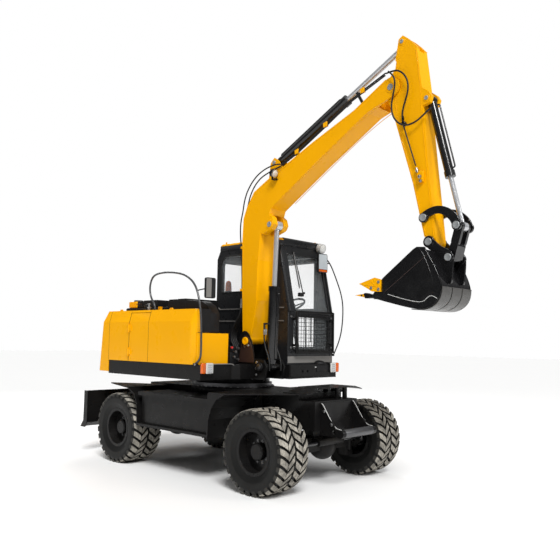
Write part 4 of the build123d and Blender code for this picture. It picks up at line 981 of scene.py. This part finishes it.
makeHoses(footHoses, stickHoses)
build("stick", [
    # clamp, steel line and valve
    (turned, "stickClamp", "blackPaint", 32, (
        [(0, 24), (34, 24), (40, 18), (40, 0.5)], (2713, -200, 3784), toRight)),
    (rods, "stickLine", "blackRubber", 16, ((2713, -232, 3775), (2853, -222, 3325), 7)),
    (boxes, "stickValve", "yellowPaint", 5, (2868, 2938, -226, -200, 3150, 3262)),
    (turned, "stickValveFittings", "zincSteel", 20, (
        [(0, 12), (20, 12), (22, 17), (38, 17), (40, 10), (52, 10), (52, 0.5)],
        (2862, -226, 3300), (0.24, 0, -0.97)),
     ([(0, 18), (16, 18), (18, 12), (30, 12), (30, 0.5)], (2905, -226, 3204), toRight),
     ([(0, 15), (14, 15), (16, 9), (24, 9), (24, 0.5)], (2914, -226, 3160), toRight)),
    (turned, "hoseEnds", "blackPaint", 16, (
        [(0, 14), (26, 14), (28, 11), (46, 11), (46, 0.5)], (2716, -240, 3812), upward)),
])
# silver ends of the lift cylinder's hoses and of the foot hoses, yellow clamps over the boom's lines
build("boom_barrel", [
    (turned, "liftHoseEnds", "zincSteel", 16, *[
        ([(0, 13), (30, 13), (32, 15), (52, 15), (54, 11), (70, 11), (70, 0.5)], (x, y, 1640), upward)
        for y in (-184, -16) for x in (735, 760)]),
])
build("boom", [
    (turned, "footHoseEnds", "zincSteel", 16, *[
        ([(0, 14), (30, 14), (32, 17), (52, 17), (54, 9), (112, 8), (112, 0.5)],
         (354 + footHoses["back"] * k, footHoses["first"] + k * footHoses["apart"], 1968), upward)
        for k in range(footHoses["count"])]),
    (slabs, "lineClamps", "yellowPaint", 4, *[
        ([(x - 24, z - 8), (x - 30, z + 44), (x + 24, z + 58), (x + 30, z + 2)], -234, -204)
        for x, z in ((1257, 3744), (1686, 3974), (2198, 4238))]),
    (boxes, "rearClamps", "yellowPaint", 4, *[(326, 372, -222, -160, z - 16, z + 16) for z in (2190, 2720)]),
])
print("rails and hoses ready")

# ---- bucket, rocker and pins of the working arm


def soften(points, hard=(), closed=True):
    # cuts every corner of the outline twice, but for the hard ones and an open line's ends
    marks = [k in hard or (not closed and k in (0, len(points) - 1)) for k in range(len(points))]
    for turn in range(2):
        cut = []
        for k, mark in enumerate(marks):
            here = Vector(points[k])
            others = (here,) if mark else (Vector(points[k - 1]), Vector(points[(k + 1) % len(points)]))
            cut += [(tuple(here.lerp(other, 0.25)), mark) for other in others]
        points, marks = zip(*cut)
    return list(points)


def disc(centre, radius, sides=40):
    angles = [2 * pi * k / sides for k in range(sides)]
    return [(centre[0] + radius * cos(angle), centre[1] + radius * sin(angle)) for angle in angles]


def offArm(near, far):
    # lowest and highest Y on each side of the arm, from distances off its middle
    return [sorted((armY + hand * near, armY + hand * far)) for hand in (-1, 1)]


def eyedPlates(outline, eyes, near, far):
    # pairs of plates, with an eye 1 mm thicker round each pin
    shapes = []
    for low, high in offArm(near, far):
        shapes.append((soften(outline), low, high))
        shapes += [(disc(place, radius), low - 1, high + 1) for place, radius in eyes]
    return shapes


bucketShape = {
    "half": 286, "wall": 22, "tip": (2996, 2550), "link": (3205, 2384),
    "back": [(3060, 2450), (3151, 2296), (3197, 2194), (3224, 2100), (3214, 2010), (3160, 1935),
             (3055, 1888), (2900, 1899), (2584, 1978), (2434, 2019)],
    "inner": [(3072, 2450), (3130, 2290), (3174, 2185), (3200, 2098), (3190, 2020), (3146, 1957),
              (3050, 1912), (2904, 1923), (2590, 2002), (2440, 2043)],
    "rim": [(2573, 2208), (2921, 2466), (2961, 2486), (3043, 2479)],
    "ear": [(2950, 2572), (2996, 2612), (3050, 2570), (3120, 2500), (3232, 2448), (3262, 2384), (3246, 2200),
            (3240, 2130), (3205, 2140), (3120, 2300), (3060, 2440), (2975, 2490)],
    "heel": [(3224, 2100), (3214, 2010), (3160, 1935), (3055, 1888), (2900, 1899)],
    "heelOut": [(3233, 2100), (3223, 2006), (3166, 1926), (3056, 1879), (2897, 1890)],
    "adapter": [(2437, 2014), (2453, 2042), (2350, 2070), (2326, 2066), (2342, 2014)],
    "straps": 3, "strapHalf": 88, "teeth": 4, "toothInset": 60,
}


def makeBucketShell(s, low, high):
    back = soften(s["back"], (8, 9), False)
    inner = soften(s["inner"], closed=False)
    bm = bmesh.new()
    for first in (low, high - s["wall"]):
        addSlab(bm, s["rim"] + back, first, first + s["wall"])
    # wrapper as a strip of quads between the side plates
    rows = [[[bm.verts.new(at(x, y, z)) for x, z in line] for y in (low + 1, high - 1)]
            for line in (back, inner)]
    for near, far in rows:
        for k in range(len(near) - 1):
            bm.faces.new((near[k], near[k + 1], far[k + 1], far[k]))
    for end in (0, -1):
        bm.faces.new((rows[0][0][end], rows[0][1][end], rows[1][1][end], rows[1][0][end]))
    piece = newPiece("bucketShell", bm, "bucket", "glossBlack", 3)
    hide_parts("bucket")


def makeBucket(s):
    half = s["half"]
    low, high = armY - half, armY + half
    makeBucketShell(s, low, high)
    (linkX, linkZ), weldY = s["link"], low - 1
    strap = soften(s["heel"], closed=False) + soften(s["heelOut"], closed=False)[::-1]
    middles = [low + 2 * half / s["straps"] * (k + 0.5) for k in range(s["straps"])]
    inset, gaps = s["toothInset"], s["teeth"] - 1
    teeth = [low + inset + k * (2 * half - 2 * inset) / gaps for k in range(s["teeth"])]
    sides = ((low - 20, toRight), (high + 20, toLeft))
    build("bucket", [
        (slabs, "bucketEars", "glossBlack", 3,
         *eyedPlates(s["ear"], ((s["tip"], 58), (s["link"], 54)), 105, 131)),
        (rods, "bucketPin", "pinGrey", 32, ((linkX, armY - 139, linkZ), (linkX, armY + 139, linkZ), 24)),
        (slabs, "heelPlates", "heelSteel", 3, *[
            (strap, y - s["strapHalf"], y + s["strapHalf"]) for y in middles]),
        # adapters behind the teeth, bolts and folds of the side cutters
        (slabs, "toothAdapters", "glossBlack", 3, *[(s["adapter"], y - 37, y + 37) for y in teeth]),
        (turned, "toothPins", "coverBlack", 16, *[
            ([(0, 9), (3, 9), (3, 0.5)], (2300, y - 32, 2046), toRight) for y in teeth]),
        (bolts, "cutterBolts", "zincSteel", 12, *[
            ((x, y, z), facing)
            for y, facing in sides for x, z in ((2538, 2168), (2450, 2112), (2538, 2095))]),
        (rods, "cutterFolds", "yellowPaint", 10, *[
            ((x0, y, z0), (x1, y, z1), radius) for y, facing in sides for x0, z0, x1, z1, radius in (
                (2306, 2160, 2545, 2120, 4), (2400, 2112, 2470, 2204, 3), (2440, 2190, 2540, 2095, 3))]),
        (rods, "sideFolds", "brownPlate", 8, *[
            ((2600, y, 2070), (3070, y, 2400), 2.5) for y in (low - 0.5, high + 0.5)]),
        # pale line of painted highlight along the weld at the edge of the side reinforcement
        (hoses, "sideWeld", "paleEdge", 3, [
            (x, weldY, z) for x, z in ((2637, 2044), (2750, 2008), (2960, 1958), (3040, 1962), (3080, 2004),
                                       (3130, 2020), (3180, 1985))]),
        (hoses, "rimWeld", "glossBlack", 4, [
            (x, weldY, z)
            for x, z in ((2990, 2468), (3020, 2440), (3075, 2320), (3130, 2180), (3150, 2080))]),
    ])


makeBucket(bucketShape)

rockerOutline = [
    (2900, 2770), (2905, 2835), (3000, 2880), (3100, 2896), (3215, 2860), (3310, 2770), (3335, 2690),
    (3260, 2660), (3220, 2745), (3150, 2800), (3075, 2822), (2990, 2792), (2950, 2745),
]
rockerShapes = eyedPlates(rockerOutline, (((2937, 2793), 50), ((3293, 2682), 50)), 105, 129)
rockerPlates = slabs("rockerPlates", rockerShapes, "rocker", "glossBlack", 3)
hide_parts("rocker")

pinCaps = [
    # name, places, outer face from the arm's middle, profile, body, finish
    *[(name, [place], out, [(0, r), (8, r), (11, r - 3), (11, r * 0.62), (9.5, r * 0.55), (9.5, 0.5)],
       body, "capSteel")
      for name, place, out, r, body in (
        ("rockerPinCaps", (2937, 2793), 130, 37, "stick"), ("tipPinCaps", (2996, 2550), 132, 37, "stick"),
        ("rockerEndCaps", (3293, 2682), 130, 36, "rocker"), ("linkPinCaps", (3205, 2384), 132, 36, "bucket"),
        ("bucketBaseCaps", (2964, 3998), 100, 22, "stick"), ("armEyeCaps", (2678, 4668), 100, 22, "stick"),
        ("elbowCaps", (2560, 4204), 131, 34, "boom"), ("armBaseCaps", (853, 3720), 84, 24, "boom"),
        ("liftEyeCaps", (836, 2959), 131, 34, "boom"))],
    ("stickBosses", [(2678, 4668), (2964, 3998)], 97, button(40, 5, 7, 38), "stick", "yellowPaint"),
    ("boomBosses", [(2560, 4204), (836, 2959)], 128, button(58, 4, 7, 55), "boom", "yellowPaint"),
]
for name, places, out, profile, body, finish in pinCaps:
    turned(name, [(profile, (x, armY + hand * out, z), (0, hand, 0)) for x, z in places for hand in (-1, 1)],
           body, finish)

# weld beads of boom and stick: fine ridges along the side plates' edges
weldLines = {
    ("boom", 131): [
        [(392, 2075), (369, 2810), (386, 3070), (446, 3205), (566, 3376), (832, 3512), (1515, 3816),
         (2090, 4048), (2480, 4270)],
        [(632, 2075), (640, 2545), (682, 2862)], [(1010, 3226), (1585, 3590), (2270, 3990), (2500, 4060)]],
    ("stick", 100): [
        [(2642, 4640), (2616, 4400), (2584, 3945), (2820, 3170), (2948, 2620)],
        [(2842, 4540), (2900, 4130), (2900, 3935), (2960, 3325), (3010, 2843), (3040, 2560)]],
}
for (body, out), outlines in weldLines.items():
    for number, line in enumerate(outlines):
        for hand, side in ((-1, "right"), (1, "left")):
            hoses(body + "Weld." + str(number) + side, [[(x, armY + hand * out, z) for x, z in line]],
                  body, "yellowPaint", 3.5)
print("working arm ready")

# ---- lamps, beacon, slew ring and running gear fittings

lampPlaces = [
    # name, centre of the glass, facing, radius, body
    ("boomLampGlass", (966, -284, 3545), (0.94, 0, -0.33), 42, "boom"),
    ("roofLampGlass", (739, 880, 2791), (0.97, 0, -0.24), 57, "upper"),
]
for name, centre, facing, r, body in lampPlaces:
    build(body, [
        (turned, name, "whiteLens", 32, (
            [(-2, r), (3, r), (8, r * 0.86), (12, r * 0.55), (14, 0.5)], centre, facing)),
        (turned, name + "Ring", "zincSteel", 32, (
            [(-8, r + 1), (-8, r + 5), (5, r + 5), (5, r - 1), (-2, r - 1)], centre, facing)),
    ])

beaconX, beaconY = -690, 500
# line along the edge of each nose cheek, where a painted highlight runs
cheekEdge = [(1712, 912), (1738, 892), (1785, 822), (1835, 752), (1880, 695), (1925, 658), (1985, 655)]


def ringOf(count, radius, height, facing):
    angles = [2 * pi * k / count for k in range(count)]
    return [((radius * cos(angle), radius * sin(angle), height), facing) for angle in angles]


build("chassis", [
    (bolts, "ringBolts", "zincSteel", 9, *ringOf(40, 515, 1000.5, upward)),
    # sleeve on the nose bar, lines of painted highlight along the edges of the nose cheeks, and their nuts
    (turned, "noseSleeve", "pinGrey", 32, (
        [(-240, 43), (-236, 45), (236, 45), (240, 43), (240, 0.5)], (1985, 0, 612), toLeft)),
    *[(hoses, "cheekEdge" + side, "paleEdge", 4, [(x, hand * 274, z) for x, z in cheekEdge])
      for hand, side in ((-1, "Right"), (1, "Left"))],
    (bolts, "noseNuts", "zincSteel", 14, *[
        ((x, hand * 288, z), (0, hand, 0)) for hand in (-1, 1) for x, z in ((1760, 830), (1860, 700))]),
])
build("upper", [
    (bolts, "upperRingBolts", "zincSteel", 12, *ringOf(20, 560, 1111.5, (0, 0, -1))),
    (rods, "beaconPole", "coverBlack", 16, ((beaconX, beaconY, 1925), (beaconX, beaconY, 2240), 11)),
    (turned, "beaconFoot", "coverBlack", 32, (
        [(0, 46), (10, 46), (14, 30), (16, 0.5)], (beaconX, beaconY, 1925), upward), (
        [(0, 30), (14, 52), (34, 52), (36, 44), (36, 0.5)], (beaconX, beaconY, 2226), upward)),
    (turned, "beacon", "amberLens", 32, (
        [(0, 46), (60, 44), (110, 40), (138, 28), (150, 10), (151, 0.5)], (beaconX, beaconY, 2262), upward)),
])
print("fittings ready")

# ---- driver's seat and controls

padShape = {"pressure": 4, "voxel": 0.006, "quickVoxel": 0.02, "frames": 20, "cap": 0.014}


def inflate(holder, s):
    # swells the foam under its cover, no point further than the cap
    first = [v.co.copy() for v in holder.data.vertices]
    cloth = holder.modifiers.new("cover", "CLOTH")
    cloth.settings.use_pressure = True
    cloth.settings.uniform_pressure_force = s["pressure"]
    cloth.settings.effector_weights.gravity = 0
    cloth.point_cache.frame_end = s["frames"]
    for frameNumber in range(1, s["frames"] + 1):
        bpy.context.scene.frame_set(frameNumber)
    swollen = evaluatedMesh(holder)
    holder.modifiers.clear()
    for point, start, end in zip(holder.data.vertices, first, swollen.vertices):
        move = end.co - start
        if move.length > s["cap"]:
            move.length = s["cap"]
        point.co = start + move
    bpy.context.scene.frame_set(1)


def makePad(name, outline, yLow, yHigh, s):
    bm = bmesh.new()
    addSlab(bm, outline, yLow, yHigh)
    bmesh.ops.recalc_face_normals(bm, faces=bm.faces)
    holder = show(name + "Base", toMesh(name, bm))
    grid = holder.modifiers.new("grid", "REMESH")
    grid.mode = "VOXEL"
    grid.voxel_size = s["voxel"]
    holder.data = evaluatedMesh(holder)
    holder.modifiers.clear()
    inflate(holder, s)
    finer = holder.modifiers.new("finer", "SUBSURF")
    finer.levels = finer.render_levels = 1
    piece = placePiece(name, settledMesh(holder), "upper", "seatFabric", 0, 60)
    return piece


padOutline = [(-172, 1712), (285, 1708), (292, 1760), (262, 1782), (-172, 1775)]
seatPad = makePad("seatPad", padOutline, 356, 784, padShape)
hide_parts("seat_cushion")
backOutline = [(-178, 1815), (-122, 1815), (-160, 2080), (-205, 2330), (-230, 2386), (-272, 2386),
               (-222, 2080)]
makePad("seatBack", backOutline, 366, 774, padShape)

wheelCentre = Vector((505, 545, 2030))
wheelTilt = Vector((-0.45, 0, 0.89)).normalized()


def onSteering(radius, angle):
    turn = wheelTilt.to_track_quat("Z", "Y").to_matrix()
    return wheelCentre + turn @ Vector((radius * cos(angle), radius * sin(angle), 0))


inside = build("upper", [
    (loopBars, "seatPiping", "blackRubber", 4, roundedLoop([
        (-165, 372, 1793), (262, 372, 1797), (262, 768, 1797), (-165, 768, 1793)], 40)),
    (boxes, "seatBase", "consolePlastic", 14, (-150, 250, 380, 760, 1332, 1480),
     (-110, 210, 420, 720, 1480, 1620), (-170, 270, 372, 768, 1620, 1698)),
    (slabs, "rightConsole", "consolePlastic", 12, (
        [(-200, 1332), (330, 1332), (330, 1760), (300, 1815), (-170, 1848), (-200, 1820)], 240, 330)),
    (slabs, "leftConsole", "consolePlastic", 12, (
        [(-80, 1620), (290, 1620), (300, 1780), (-60, 1810)], 812, 880)),
    (rods, "levers", "coverBlack", 16, ((250, 285, 1830), (262, 282, 1960), 9),
     ((250, 848, 1790), (262, 845, 1950), 9), ((620, 380, 1332), (600, 380, 1960), 8),
     ((620, 700, 1332), (600, 700, 1960), 8), ((640, 540, 1332), (520, 545, 2010), 26)),
    (turned, "leverBoots", "blackRubber", 32, *[
        ([(0, 34), (12, 32), (20, 26), (32, 24), (40, 18), (52, 14), (52, 0.5)], place, upward)
        for place in ((250, 285, 1815), (250, 848, 1786))]),
    (turned, "leverGrips", "consolePlastic", 32, *[
        ([(0, 12), (20, 18), (70, 22), (104, 20), (118, 12), (120, 0.5)], place, (0.1, 0, 1))
        for place in ((262, 282, 1950), (262, 845, 1940))]),
    (loopBars, "steeringWheel", "consolePlastic", 14, [onSteering(175, 2 * pi * k / 48) for k in range(48)]),
    (rods, "wheelSpokes", "consolePlastic", 16, *[
        (wheelCentre - wheelTilt * 20, onSteering(165, angle), 10) for angle in (0.5, 2.6, 4.7)]),
    (turned, "wheelHub", "consolePlastic", 32, (
        [(-40, 30), (-10, 46), (6, 46), (12, 38), (12, 0.5)], wheelCentre, wheelTilt)),
    (boxes, "monitor", "consolePlastic", 10, (560, 590, 175, 320, 2010, 2120)),
    (boxes, "pedals", "coverBlack", 4, *[(560, 640, y - 45, y + 45, 1400, 1412) for y in (430, 650)]),
    (slabs, "footWell", "consolePlastic", 8, (
        [(700, 1332), (780, 1332), (780, 1500), (760, 1500)], 170, 930)),
])
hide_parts("controls")
print("seat and controls ready")

# ---- studio

studio = {
    "floorSize": 120, "floorColour": (0.93, 0.93, 0.925), "backdrop": 1.0, "skyLow": 0.08, "skyHigh": 0.6,
    "sunFrom": (0.58, -0.43, 0.69), "sunPower": 3.2, "sunSpread": 20, "aim": (500, 0, 1600),
    # place in millimetres from the slew axis, width in metres, power
    "frontPanel": ((9000, 2500, 5000), 2.5, 150), "rearPanel": ((-8000, 5000, 6000), 4, 260),
}


def makeFloor(s):
    tree, shader, place = newFinish("paleFloor")
    pale = s["floorColour"]
    feed(tree, shader, {
        "Base Color": blendColours(tree, noise(tree, place, 0.4, 2), pale, [c * 0.985 for c in pale]),
        "Roughness": 0.7, "Specular IOR Level": 0.2,
    })
    bm = bmesh.new()
    bmesh.ops.create_grid(bm, x_segments=1, y_segments=1, size=s["floorSize"] / 2)
    mesh = toMesh("paleFloor", bm)
    mesh.materials.append(mats["paleFloor"])
    show("paleFloor", mesh)


def makeSky(s):
    # a white backdrop all round, which lights the machine only softly
    world = bpy.data.worlds.new("studioSky")
    world.use_nodes = True
    tree = world.node_tree
    ahead = addNode(tree, "ShaderNodeTexCoord").outputs["Generated"]
    dome = spread(tree, heightOf(tree, ahead), s["skyLow"], s["skyHigh"], 0.1, 1)
    seen = addNode(tree, "ShaderNodeLightPath").outputs["Is Camera Ray"]
    power = addNode(tree, "ShaderNodeMix", {0: seen, 2: dome, 3: s["backdrop"]}).outputs[0]
    feed(tree, tree.nodes["Background"], {"Color": (1, 1, 1), "Strength": power})
    bpy.context.scene.world = world


def makeLights(s):
    sun = bpy.data.lights.new("softSun", "SUN")
    sun.energy = s["sunPower"]
    sun.angle = radians(s["sunSpread"])
    show("softSun", sun).rotation_euler = Vector(s["sunFrom"]).to_track_quat("Z", "Y").to_euler()
    for name in ("frontPanel", "rearPanel"):
        place, width, power = s[name]
        data = bpy.data.lights.new(name, "AREA")
        data.size = width
        data.energy = power
        lamp = show(name, data)
        lamp.location = at(*place)
        lamp.rotation_euler = (at(*s["aim"]) - lamp.location).to_track_quat("-Z", "Y").to_euler()


makeFloor(studio)
makeSky(studio)
makeLights(studio)
bpy.context.scene.view_settings.view_transform = "Standard"

print("scene ready")
